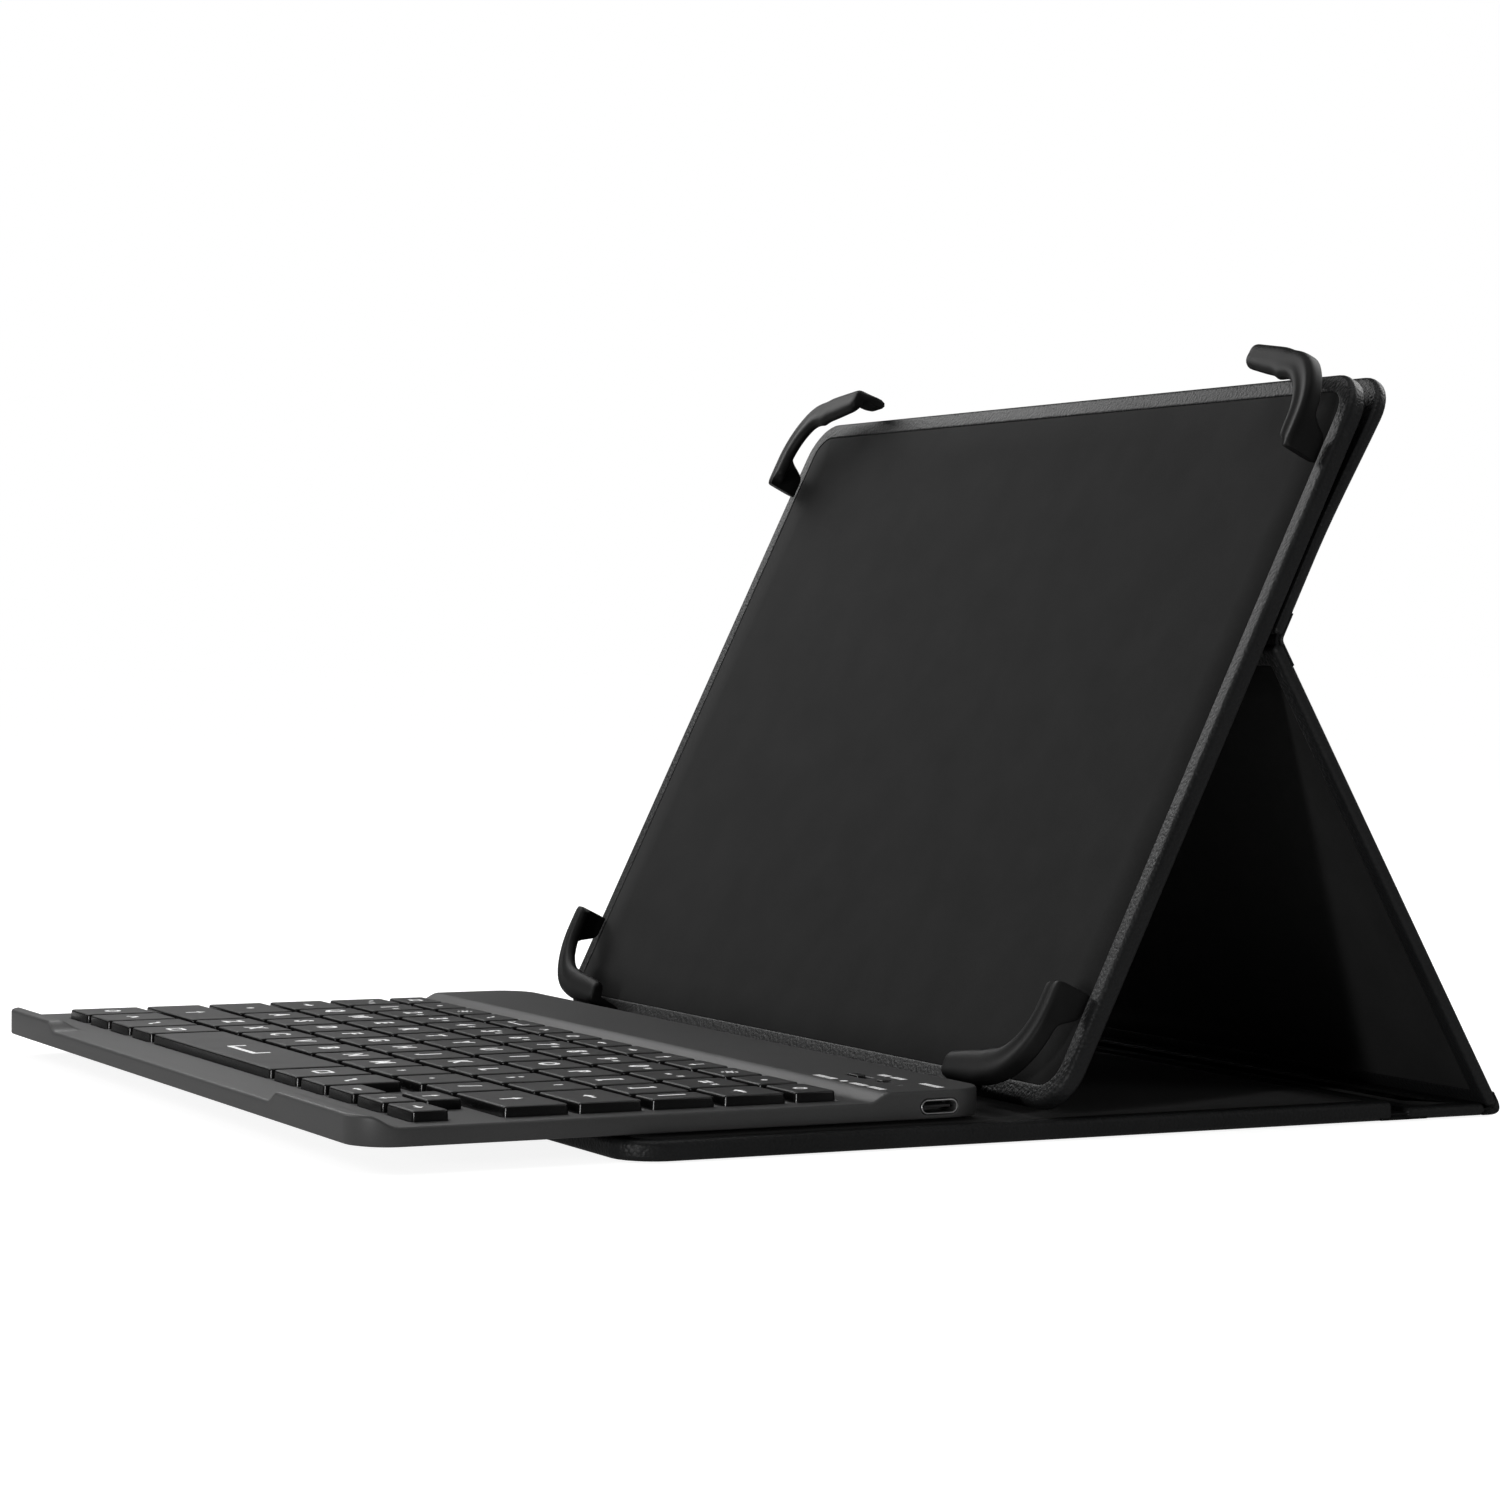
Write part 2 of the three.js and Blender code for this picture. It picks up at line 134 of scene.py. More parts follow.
# One material and short ways to put nodes in it.
class Sheet:
    def __init__(self, name):
        self.material = bpy.data.materials.new(name)
        self.material.use_nodes = True
        self.tree = self.material.node_tree
        self.tree.nodes.clear()

    def node(self, kind, settings=None, inputs=None, output=0):
        made = self.tree.nodes.new(kind)
        for key, value in (settings or {}).items():
            if key == "stops":
                ramp = made.color_ramp
                while len(ramp.elements) < len(value):
                    ramp.elements.new(0.5)
                for element, (place, shade) in zip(ramp.elements, value):
                    element.position = place
                    element.color = (shade, shade, shade, 1)
            else:
                setattr(made, key, value)
        for key, value in (inputs or {}).items():
            if isinstance(value, Value):
                self.tree.links.new(value.socket, made.inputs[key])
            else:
                made.inputs[key].default_value = value
        return Value(self, made.outputs[output]) if made.outputs else None

    def coords(self, output="Object"):
        return self.node("ShaderNodeTexCoord", output=output)

    def noise(self, size, detail=3.0, roughness=0.55):
        return self.node("ShaderNodeTexNoise", {}, {
            "Vector": self.coords(), "Scale": 1 / size, "Detail": detail,
            "Roughness": roughness,
        })

    def cells(self, size, feature):
        return self.node("ShaderNodeTexVoronoi", {"feature": feature}, {
            "Vector": self.coords(), "Scale": 1 / size,
        })

    def ramp(self, value, stops):
        return self.node("ShaderNodeValToRGB", {"stops": stops}, {0: value})

    def mix(self, factor, a, b):
        return self.node(
            "ShaderNodeMix", {"data_type": "RGBA"}, {0: factor, 6: a, 7: b}, output=2
        )

    def bump(self, height, strength, distance, under=None):
        inputs = {"Height": height, "Strength": strength, "Distance": distance}
        if under:
            inputs["Normal"] = under
        return self.node("ShaderNodeBump", {}, inputs)

    def finish(self, inputs):
        skin = self.node("ShaderNodeBsdfPrincipled", {}, inputs)
        self.node("ShaderNodeOutputMaterial", {}, {"Surface": skin})
        return self.material


def grey(tone, warmth=0.0):
    return (tone * (1 + warmth), tone, tone * (1 - warmth), 1)


leatherLook = {
    "tone": 0.0075, "worn": 0.015, "rough": 0.46, "roughRange": 0.16, "specular": 0.22,
    "grain": 0.8 * mm, "pore": 0.26 * mm, "bump": 0.75, "depth": 0.13 * mm,
    "wave": 55 * mm, "waveBump": 0.35, "waveDepth": 1.1 * mm,
}


def leatherFinish(name, look=leatherLook):
    s = Sheet(name)
    grain = s.cells(look["grain"], "F1")
    crease = s.cells(look["grain"] * 1.9, "DISTANCE_TO_EDGE")
    pore = s.noise(look["pore"], 2.0)
    height = 1 - grain * 0.9 + crease * 1.3 + pore * 0.25
    wave = s.bump(s.noise(look["wave"], 1.0), look["waveBump"], look["waveDepth"])
    cloud = s.noise(38 * mm, 4.0)
    worn = s.ramp(cloud * 0.6 + pore * 0.4, [(0.42, 0.0), (0.72, 1.0)])
    colour = s.mix(worn, grey(look["tone"], -0.03), grey(look["worn"], -0.03))
    rough = look["rough"] - look["roughRange"] * 0.5 + cloud * look["roughRange"]
    return s.finish({
        "Base Color": colour, "Roughness": rough, "Specular IOR Level": look["specular"],
        "Normal": s.bump(height, look["bump"], look["depth"], wave),
    })


liningLook = {
    "tone": 0.006, "pile": 0.0125, "rough": 0.9, "specular": 0.12, "sheen": 0.05,
    "fibre": 0.22 * mm, "bump": 0.35, "depth": 0.08 * mm,
}


def liningFinish(name, look=liningLook):
    s = Sheet(name)
    fibre = s.noise(look["fibre"], 3.0, 0.7)
    brushed = s.noise(14 * mm, 3.0)
    shade = s.ramp(fibre * 0.5 + brushed * 0.5, [(0.35, 0.0), (0.7, 1.0)])
    return s.finish({
        "Base Color": s.mix(shade, grey(look["tone"]), grey(look["pile"])),
        "Roughness": look["rough"] - fibre * 0.1, "Specular IOR Level": look["specular"],
        "Sheen Weight": look["sheen"], "Sheen Roughness": 0.6,
        "Normal": s.bump(fibre, look["bump"], look["depth"]),
    })


siliconeLook = {
    "tone": 0.0045, "dust": 0.009, "rough": 0.46, "specular": 0.15,
    "skin": 0.35 * mm, "bump": 0.16, "depth": 0.05 * mm,
}


def siliconeFinish(name, look=siliconeLook):
    s = Sheet(name)
    skin = s.noise(look["skin"], 3.0)
    cloud = s.noise(9 * mm, 3.0)
    shade = s.ramp(cloud, [(0.4, 0.0), (0.75, 1.0)])
    return s.finish({
        "Base Color": s.mix(shade, grey(look["tone"]), grey(look["dust"])),
        "Roughness": look["rough"] + cloud * 0.12, "Specular IOR Level": look["specular"],
        "Normal": s.bump(skin, look["bump"], look["depth"]),
    })


caseLook = {
    "tone": 0.045, "fleck": 0.06, "rough": 0.46, "specular": 0.36,
    "spark": 0.16 * mm, "bump": 0.2, "depth": 0.03 * mm,
}


def mouldedFinish(name, look=caseLook):
    s = Sheet(name)
    spark = s.noise(look["spark"], 2.0, 0.6)
    cloud = s.noise(30 * mm, 3.0)
    shade = s.ramp(spark * 0.5 + cloud * 0.5, [(0.36, 0.0), (0.66, 1.0)])
    return s.finish({
        "Base Color": s.mix(shade, grey(look["tone"]), grey(look["fleck"])),
        "Roughness": look["rough"] + cloud * 0.1 - 0.03, "Specular IOR Level": look["specular"],
        "Normal": s.bump(spark, look["bump"], look["depth"]),
    })


# Keycaps: the sides get the near-black side tone while the top keeps tone and fleck. The dark sides
# are painted shade standing in for dark reflections, not a second plastic.
keyLook = {
    "tone": 0.024, "fleck": 0.038, "side": 0.0028, "rough": 0.46, "sideRough": 0.2,
    "specular": 0.36,
    "spark": 0.14 * mm, "bump": 0.14, "depth": 0.02 * mm,
}


def keyFinish(name, look=keyLook):
    s = Sheet(name)
    spark = s.noise(look["spark"], 2.0, 0.6)
    touch = s.noise(11 * mm, 3.0)
    top = s.mix(spark, grey(look["tone"]), grey(look["fleck"]))
    facing = s.node(
        "ShaderNodeSeparateXYZ", {}, {0: s.coords("Normal")}, output=2
    )
    # Mask from the surface normal: 1 on the tops, 0 on the sides that take the painted shade. It
    # also makes the sides smoother.
    topVsShadedSides = s.ramp(facing, [(0.45, 0.0), (0.75, 1.0)])
    smoother = look["rough"] - look["sideRough"]
    return s.finish({
        # Base Color: painted shade on the sides, the plastic's own grey on the tops.
        "Base Color": s.mix(topVsShadedSides, grey(look["side"]), top),
        "Roughness": topVsShadedSides * smoother + touch * 0.08 + look["sideRough"],
        "Specular IOR Level": look["specular"],
        "Normal": s.bump(spark, look["bump"], look["depth"]),
    })


def plainFinish(name, tone, rough, metallic=0.0, colour=None):
    s = Sheet(name)
    grain = s.noise(0.4 * mm, 2.0)
    cloud = s.noise(6 * mm, 3.0)
    base = (*colour, 1) if colour else grey(tone)
    dark = tuple(c * 0.8 for c in base[:3]) + (1,)
    return s.finish({
        "Base Color": s.mix(cloud, dark, base), "Roughness": rough + grain * 0.12 - 0.06,
        "Metallic": metallic, "Normal": s.bump(grain, 0.12, 0.02 * mm),
    })


# Key print: white ink with a faint glow (Emission Strength 0.3). The glow is painted light that
# makes the print brighter than the lamps alone would.
def glowingInkFinish(name):
    s = Sheet(name)
    print_ = s.noise(0.3 * mm, 2.0)
    return s.finish({
        "Base Color": s.mix(print_, grey(0.8), grey(0.9)), "Roughness": 0.5 + print_ * 0.1,
        "Emission Color": s.mix(print_, grey(0.85), grey(1.0)), "Emission Strength": 0.3,
    })


finishes = {
    "leather": leatherFinish("blackLeather"),
    "lining": liningFinish("microfibreLining"),
    "silicone": siliconeFinish("darkSilicone"),
    "case": mouldedFinish("charcoalMoulding"),
    "key": keyFinish("keycapPlastic"),
    "ink": glowingInkFinish("keyInk"),
    "board": plainFinish("fibreBoard", 0.1, 0.85, colour=(0.12, 0.1, 0.08)),
    "steel": plainFinish("platedSteel", 0.5, 0.3, 1.0),
    "magnet": plainFinish("nickelMagnet", 0.42, 0.25, 1.0),
    "circuit": plainFinish("solderMask", 0.1, 0.4, colour=(0.02, 0.13, 0.06)),
    "film": plainFinish("printedFilm", 0.6, 0.35),
    "foil": plainFinish("foilPouch", 0.4, 0.35, 0.6),
    "light": plainFinish("lightGuide", 0.5, 0.2),
    "port": plainFinish("portMoulding", 0.012, 0.4),
}
print("materials made")


def newPiece(name, bm, finish, angle=35):
    bmesh.ops.remove_doubles(bm, verts=bm.verts, dist=0.002 * mm)
    bmesh.ops.recalc_face_normals(bm, faces=bm.faces)
    mesh = bpy.data.meshes.new(name)
    bm.to_mesh(mesh)
    bm.free()
    mesh.materials.append(finish)
    piece = bpy.data.objects.new(name, mesh)
    bpy.context.scene.collection.objects.link(piece)
    shadeSmooth(piece, angle)
    return piece


def frozen(piece):
    graph = bpy.context.evaluated_depsgraph_get()
    mesh = bpy.data.meshes.new_from_object(piece.evaluated_get(graph))
    piece.modifiers.clear()
    old = piece.data
    piece.data = mesh
    mesh.name = piece.name
    if old.users == 0:
        bpy.data.meshes.remove(old)
    return piece


# One ring of a rounded rectangle, counter-clockwise, always with the same number of points.
def ring(plan, inset, xStops=(), yStops=(), steps=10):
    x0, x1, y0, y1 = plan["x0"], plan["x1"], plan["y0"], plan["y1"]
    points = []
    corners = [
        (x1, y0, plan["front"], -90, -1, 1), (x1, y1, plan["back"], 0, -1, -1),
        (x0, y1, plan["back"], 90, 1, -1), (x0, y0, plan["front"], 180, 1, 1),
    ]
    runs = [
        [(x, y0 + inset) for x in xStops], [(x1 - inset, y) for y in yStops],
        [(x, y1 - inset) for x in reversed(xStops)], [(x0 + inset, y) for y in reversed(yStops)],
    ]
    for run, (cx, cy, radius, start, sx, sy) in zip(runs, corners):
        points += run
        reach = max(radius, inset)
        left = max(radius - inset, 0)
        for k in range(steps + 1):
            a = math.radians(start + 90 * k / steps)
            points.append((
                cx + sx * reach + left * math.cos(a), cy + sy * reach + left * math.sin(a)
            ))
    return points


# Closes a ring that is the same on its left and right with a ladder of quads.
def ladder(bm, row):
    n = len(row)
    for i in range(n // 2 - 1):
        bm.faces.new((row[i], row[i + 1], row[n - 2 - i], row[n - 1 - i]))


def loft(bm, rings, capFirst=True, capLast=True, rungs=False):
    rows = [[bm.verts.new(p) for p in points] for points in rings]
    for a, b in zip(rows, rows[1:]):
        for k in range(len(a)):
            n = (k + 1) % len(a)
            bm.faces.new((a[k], a[n], b[n], b[k]))
    for wanted, row in ((capFirst, rows[0]), (capLast, rows[-1])):
        if wanted and rungs:
            ladder(bm, row)
        elif wanted:
            bm.faces.new(row)
    return rows


def arc(cx, cy, radius, start, end, steps):
    return [
        (cx + radius * math.cos(math.radians(start + (end - start) * k / steps)),
         cy + radius * math.sin(math.radians(start + (end - start) * k / steps)))
        for k in range(steps + 1)
    ]


def smooth(t):
    t = min(max(t, 0.0), 1.0)
    return t * t * (3 - 2 * t)


def settle(piece, place, bend=None):
    if bend is not None:
        for vertex in piece.data.vertices:
            vertex.co = bend(vertex.co)
    piece.data.transform(place)
    return piece


def shadeSmooth(piece, angle):
    mesh = piece.data
    mesh.polygons.foreach_set("use_smooth", [True] * len(mesh.polygons))
    mesh.set_sharp_from_angle(angle=math.radians(angle))


# Fixes a finished piece to the body it moves with and hides the frame node it stands in for.
def mount(piece, body, node=None):
    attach(piece, body)
    if node:
        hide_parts(node)


def camel(node):
    first, *rest = node.split("_")
    return first + "".join(word.capitalize() for word in rest)


# Where the cover's folds are, and the way each panel lies from them.
fold = {
    "spine": Vector(joints["spine_fold"]["pos_m"]),
    "stand": Vector(joints["kickstand_fold"]["pos_m"]),
    "crease": Vector(joints["holder_fold"]["pos_m"]),
    "standAngle": 120.1, "tabletTilt": 64.014,
}
flat = Matrix.Identity(4)
onStand = Matrix.Translation(fold["stand"]) @ Matrix.Rotation(
    math.radians(fold["standAngle"]), 4, "X")
onHolder = Matrix.Translation(fold["crease"]) @ Matrix.Rotation(
    math.radians(fold["tabletTilt"]), 4, "X")

panels = {
    "edge": 1.25 * mm, "border": 4.6 * mm, "turned": 0.5 * mm, "proud": 0.07 * mm,
    "corner": 10.5 * mm, "foldCorner": 1.2 * mm, "backing": 0.85 * mm,
    "half": 131 * mm, "curl": 2.1 * mm, "curlFrom": 20 * mm, "curlTo": 68 * mm,
}


# The leather of the upper back curls away from the holder towards its free edge.
def curl(point):
    away = smooth((point.y - panels["curlFrom"]) / (panels["curlTo"] - panels["curlFrom"]))
    return Vector((point.x, point.y, point.z - panels["curl"] * away))


def slab(name, plan, profile, finish, place, body, node, bend=None):
    steps = [plan["y0"] + (plan["y1"] - plan["y0"]) * k / 13 for k in range(1, 13)]
    room = 14 * mm
    steps = [y for y in steps if plan["y0"] + room < y < plan["y1"] - room]
    bm = bmesh.new()
    rings = [[(x, y, w) for x, y in ring(plan, inset, (), steps)] for inset, w in profile]
    loft(bm, rings, rungs=True)
    mount(settle(newPiece(name, bm, finish, 50), place, bend), body, node)


# A leather skin turned over its board: outer face, rolled edge, turned-in border and open pocket.
def skinPiece(name, plan, thickness, base, place, body, node, bend):
    p = panels
    edge = min(p["edge"], thickness / 2 - 0.1 * mm)
    low, high = base + p["proud"], base + thickness
    profile = [(14 * mm, low), (3 * mm, low), (edge + 0.6 * mm, low)]
    profile += [(edge - c, low + edge + s) for c, s in arc(0, 0, edge, -90, 0, 6)]
    profile += [(edge - c, high - edge + s) for c, s in arc(0, 0, edge, 0, 90, 6)]
    profile += [
        (edge + 0.6 * mm, high), (p["border"] - 0.5 * mm, high),
        (p["border"] - 0.12 * mm, high - 0.06 * mm), (p["border"], high - 0.2 * mm),
        (p["border"], high - p["turned"]), (1.0 * mm, high - p["turned"]),
        (1.0 * mm, low + p["backing"]), (12 * mm, low + p["backing"]),
    ]
    slab(name, plan, profile, finishes["leather"], place, body, node, bend)


def liningPiece(name, plan, thickness, base, place, body, node, bend):
    p = panels
    high = base + thickness - 0.14 * mm
    low = base + thickness - p["turned"] - 0.1 * mm
    inset = p["border"] + 0.12 * mm
    profile = [
        (inset + 9 * mm, low), (inset, low), (inset, high - 0.1 * mm),
        (inset + 0.12 * mm, high), (inset + 9 * mm, high),
    ]
    slab(name, plan, profile, finishes["lining"], place, body, node, bend)


def panelPlan(half, y0, y1, front, back):
    return {"x0": -half, "x1": half, "y0": y0, "y1": y1, "front": front, "back": back}


def makeCover():
    p = panels
    thick = {
        "front": 4.4 * mm, "spine": 2.8 * mm, "panel": 3.1 * mm,
        "holderBase": 3.4 * mm, "holder": 4.4 * mm,
    }
    frontBox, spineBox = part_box("front_cover_skin"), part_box("spine_board")
    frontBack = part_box("front_cover_board")[1].y + 1.1 * mm
    plans = {
        "front": panelPlan(p["half"], frontBox[0].y, frontBack, p["corner"], p["foldCorner"]),
        "spine": panelPlan(p["half"], spineBox[0].y - 1.1 * mm, spineBox[1].y + 1.1 * mm,
                           p["foldCorner"], p["foldCorner"]),
        "kick": panelPlan(p["half"], 3.4 * mm, 125.4 * mm, p["foldCorner"], p["foldCorner"]),
        "upper": panelPlan(p["half"], 0.5 * mm, 66.6 * mm, p["foldCorner"], p["corner"]),
        "holder": panelPlan(131.4 * mm, -117.2 * mm, 63.6 * mm, p["corner"], p["corner"]),
    }
    rows = [
        ("frontCover", "front", "front", 0.0, flat, "front_cover", "front_cover_lining"),
        ("spine", "spine", "spine", 0.0, flat, "spine", None),
        ("kickstand", "kick", "panel", 0.0, onStand, "kickstand", "kickstand_lining"),
        ("upperBack", "upper", "panel", 0.0, onHolder, "holder", None),
        ("holder", "holder", "holder", thick["holderBase"], onHolder, "holder", "holder_lining"),
    ]
    skins = {"upperBack": "back_cover_skin", "frontCover": "front_cover_skin"}
    for name, plan, depth, base, place, body, node in rows:
        bend = curl if plan == "upper" else None
        skin = skins.get(name, name + "_skin")
        skinPiece(name + "Skin", plans[plan], thick[depth], base, place, body, skin, bend)
    for name, plan, depth, base, place, body, node in rows:
        bend = curl if plan == "upper" else None
        liningPiece(name + "Lining", plans[plan], thick[depth], base, place, body, node, bend)
    board = [(10 * mm, 1.05 * mm), (1.5 * mm, 1.05 * mm), (1.2 * mm, 1.35 * mm),
             (1.2 * mm, 2.0 * mm), (1.5 * mm, 2.3 * mm), (10 * mm, 2.3 * mm)]
    slab("upperBackBoard", plans["upper"], board, finishes["board"], onHolder, "holder",
         "back_cover_board", curl)


# The leather that runs over a fold, as one sheet along a rounded path in Y and Z.
hinge = {"reach": 6.4 * mm, "sunk": 0.16 * mm, "thin": 1.5 * mm, "roll": 2.6 * mm}


def hingeStrip(name, path, inward, half, swell):
    bm = bmesh.new()
    h = hinge
    rings = []
    steps = 7
    for side in (-1, 1):
        for k in range(steps):
            a = math.radians(90 * k / (steps - 1))
            a = a if side < 0 else math.radians(90) - a
            lift, inset = math.sin(a), 1 - math.cos(math.radians(90) - a)
            outer, inner = [], []
            for (y, z), n, s in zip(path, inward, swell):
                thick = h["thin"] + (h["roll"] - h["thin"]) * s
                middle = h["sunk"] + thick / 2
                outer.append((y + n[0] * (middle - lift * thick / 2),
                              z + n[1] * (middle - lift * thick / 2)))
                inner.append((y + n[0] * (middle + lift * thick / 2),
                              z + n[1] * (middle + lift * thick / 2)))
            x = side * (half - inset * h["thin"] / 2)
            rings.append([(x, y, z) for y, z in outer + inner[::-1]])
    rows = loft(bm, rings, False, False)
    for row in (rows[0], rows[-1]):
        count = len(path)
        for k in range(count - 1):
            bm.faces.new((row[k], row[k + 1], row[2 * count - 2 - k], row[2 * count - 1 - k]))
    piece = newPiece(name, bm, finishes["leather"], 60)
    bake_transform(piece)
    return piece


# Outer line of a fold: straight, an arc that rounds the corner off, straight again.
def foldPath(corner, before, after, radius, reach, bend=14):
    a, b = Vector(before).normalized(), Vector(after).normalized()
    turn = a.angle(b)
    cut = min(radius * math.tan(turn / 2), reach * 0.7) if turn > 0.01 else reach * 0.5
    first, last = corner - a * cut, corner + b * cut
    points = [corner - a * reach, corner - a * (cut + reach) / 2]
    for k in range(bend + 1):
        s = k / bend
        points.append(first * (1 - s) ** 2 + corner * 2 * s * (1 - s) + last * s * s)
    points += [corner + b * (cut + reach) / 2, corner + b * reach]
    normals, swell = [], []
    for k, p in enumerate(points):
        d = (points[min(k + 1, len(points) - 1)] - points[max(k - 1, 0)]).normalized()
        normals.append((-d.y, d.x))
        swell.append(smooth(1.4 - abs(2 * k / (len(points) - 1) - 1) * 1.4) if turn > 1 else 0.0)
    return [tuple(p) for p in points], normals, swell, (tuple(first), tuple(last))


def makeHinges():
    level = Vector((1, 0))
    lean = Vector((math.cos(math.radians(fold["standAngle"])),
                   math.sin(math.radians(fold["standAngle"]))))
    tilt = Vector((math.cos(math.radians(fold["tabletTilt"])),
                   math.sin(math.radians(fold["tabletTilt"]))))
    half = panels["half"] - 0.1 * mm
    spots = [
        ("spineHinge", fold["spine"], level, level, 0, ("front_cover", "spine")),
        ("standHinge", fold["stand"], level, lean, 2.6 * mm, ("spine", "kickstand")),
        ("creaseHinge", fold["crease"], lean, tilt, 1.6 * mm, ("kickstand", "holder")),
    ]
    for name, spot, before, after, radius, bodies in spots:
        path, normals, swell, turn = foldPath(spot.yz, before, after, radius, hinge["reach"])
        hingeStrip(name, path, normals, half, swell)


addCamera()
for spec in studio["lamps"]:
    addLamp(spec)
makeCover()
makeHinges()
print("cover made")


# Corner grips: a band round the tablet's corner, drawn for one corner and mirrored.
grip = {
    "outer": 20 * mm, "cornerX": 128.55 * mm, "cornerV": 92.45 * mm, "middleV": -24.65 * mm,
    "front": 17.65 * mm, "under": 14.6 * mm, "wallBack": 13.2 * mm, "legBack": 8.0 * mm,
    "wall": 1.6 * mm, "leg": 8.4 * mm, "legWall": 2.6 * mm, "nose": 1.9 * mm,
    "reach": {"upper": (32.8, 27.8), "lower": (33.8, 26.2)},
    "sweep": {"upper": (0.9, -1.5), "lower": (0.3, -0.5)}, "short": {"upper": 3.1, "lower": 0.9},
    "widths": [(0.0, 6.5), (0.18, 7.4), (0.34, 7.9), (0.5, 7.3), (0.66, 6.5), (0.82, 6.0),
               (1.0, 5.7)],
}


def valueAt(table, t):
    for (a, low), (b, high) in zip(table, table[1:]):
        if t <= b:
            return low + (high - low) * (t - a) / (b - a)
    return table[-1][1]


# One section across the band: (distance in from the outer outline, height off the panel).
def gripSection(fromTip, fromFoot, total, shortBy):
    g = grip
    t = fromTip / total
    band = valueAt(g["widths"], t) * mm
    legness = 1 - smooth((min(fromTip, fromFoot) - g["leg"] + 3 * mm) / (4.4 * mm))
    back = g["wallBack"] + (g["legBack"] - g["wallBack"]) * legness
    wall = g["wall"] + (g["legWall"] - g["wall"]) * legness
    top, under = g["front"], g["under"]
    half = back + (under - back) * 0.5
    groove = 0.5 * mm * smooth((t - 0.25) / 0.5)
    front = [
        (0.0, under), (0.1 * mm, top - 1.5 * mm), (0.6 * mm, top - 0.6 * mm),
        (band * 0.24, top - 0.22 * mm), (band * 0.42, top - 0.2 * mm - groove),
        (band * 0.56, top - 0.1 * mm - groove), (band * 0.74, top), (band * 0.9, top - 0.45 * mm),
        (band - 0.05 * mm, top - 1.3 * mm), (band - 0.1 * mm, top - 2.1 * mm),
        (band - 0.5 * mm, under),
    ]
    short = smooth((fromFoot - 0.3 * shortBy) / (0.7 * shortBy))
    front = [(min(i, wall) + max(i - wall, 0) * short,
              w - max(i - wall, 0) / band * 1.6 * mm * (1 - short)) for i, w in front]
    ahead = min(min(fromTip, fromFoot) / g["nose"], 1.0)
    nose = 0.45 + 0.55 * math.sqrt(1 - (1 - ahead) ** 2)
    middle = (under + top) / 2
    front = [(band / 2 + (i - band / 2) * nose if fromTip < fromFoot else i,
              middle + (w - middle) * nose if w > under else w) for i, w in front]
    side = [(0.0, back), (0.0, half)]
    inside = [(min(3.2 * mm, band * 0.5), under), (wall, under - 0.05 * mm), (wall, half),
              (wall, back)]
    if short < 1:
        inside[0] = (wall + (inside[0][0] - wall) * short, under)
    return side + front + inside


def makeGrip(name, sideX, end, node):
    g = grip
    reachX, reachV = (r * mm for r in g["reach"][end])
    out, dip = (d * mm for d in g["sweep"][end])
    r = g["outer"]
    straightX, bend, straightV = reachX - r, r * math.pi / 2, reachV - r
    total = straightX + bend + straightV
    ends = [0.0, 0.25, 0.6, 1.1, 1.9, 2.8]
    inner = [3.8 + (total / mm - 7.6) * k / 38 for k in range(39)]
    stations = [d * mm for d in ends + inner] + [total - d * mm for d in reversed(ends)]
    rings = []
    for d in stations:
        if d < straightX:
            spot, normal = (-reachX + d, 0.0), (0.0, -1.0)
        elif d < straightX + bend:
            a = (d - straightX) / r
            spot = (-r + r * math.sin(a), -r + r * math.cos(a))
            normal = (-math.sin(a), -math.cos(a))
        else:
            spot, normal = (0.0, -r - (d - straightX - bend)), (-1.0, 0.0)
        rise = out + (dip - out) * min(1.0, d / (straightX + 5 * mm))
        rise *= 1 - smooth((d - straightX - 3 * mm) / (12 * mm))
        rings.append([
            (spot[0] + normal[0] * i, spot[1] + normal[1] * i + rise, w)
            for i, w in gripSection(d, total - d, total, g["short"][end] * mm)
        ])
    bm = bmesh.new()
    loft(bm, rings)
    piece = newPiece(name, bm, finishes["silicone"], 80)
    sideV = 1 if end == "upper" else -1
    toCorner = Matrix.Translation((g["cornerX"], g["cornerV"], 0))
    mirror = Matrix.Diagonal((sideX, sideV, 1, 1))
    centre = Matrix.Translation((0, g["middleV"], 0))
    piece.data.transform(onHolder @ centre @ mirror @ toCorner)
    if sideX * sideV < 0:
        piece.data.flip_normals()
    rounder = piece.modifiers.new("round", "SUBSURF")
    rounder.levels = rounder.render_levels = 1
    frozen(piece)
    mount(piece, "holder", node)


for end in ("upper", "lower"):
    for side, sideX in (("Left", -1), ("Right", 1)):
        makeGrip(end + side + "Grip", sideX, end, "corner_grip_" + end + "_" + side.lower())
print("grips made")


# Keyboard case: u runs back from its front edge, z up from its underside.
keyboard = {
    "left": -131.2 * mm, "right": 126 * mm, "depth": 146 * mm, "corner": 10 * mm,
    "deck": 4.3 * mm, "lip": 6.6 * mm, "bridge": 6.4 * mm, "lipFlat": 3.0 * mm,
    "lipFoot": 8.5 * mm, "stepFront": 115.3 * mm, "stepBack": 120.9 * mm,
    "notchLeft": -91 * mm, "notchRight": 77 * mm, "notchRamp": 6 * mm,
    "rim": 0.7 * mm, "floor": 0.3 * mm, "wall": 1.4 * mm, "ceiling": 3.4 * mm,
}
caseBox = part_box("keyboard_top_case")
onKeyboard = Matrix.Translation((0, caseBox[0].y, caseBox[0].z - keyboard["floor"]))


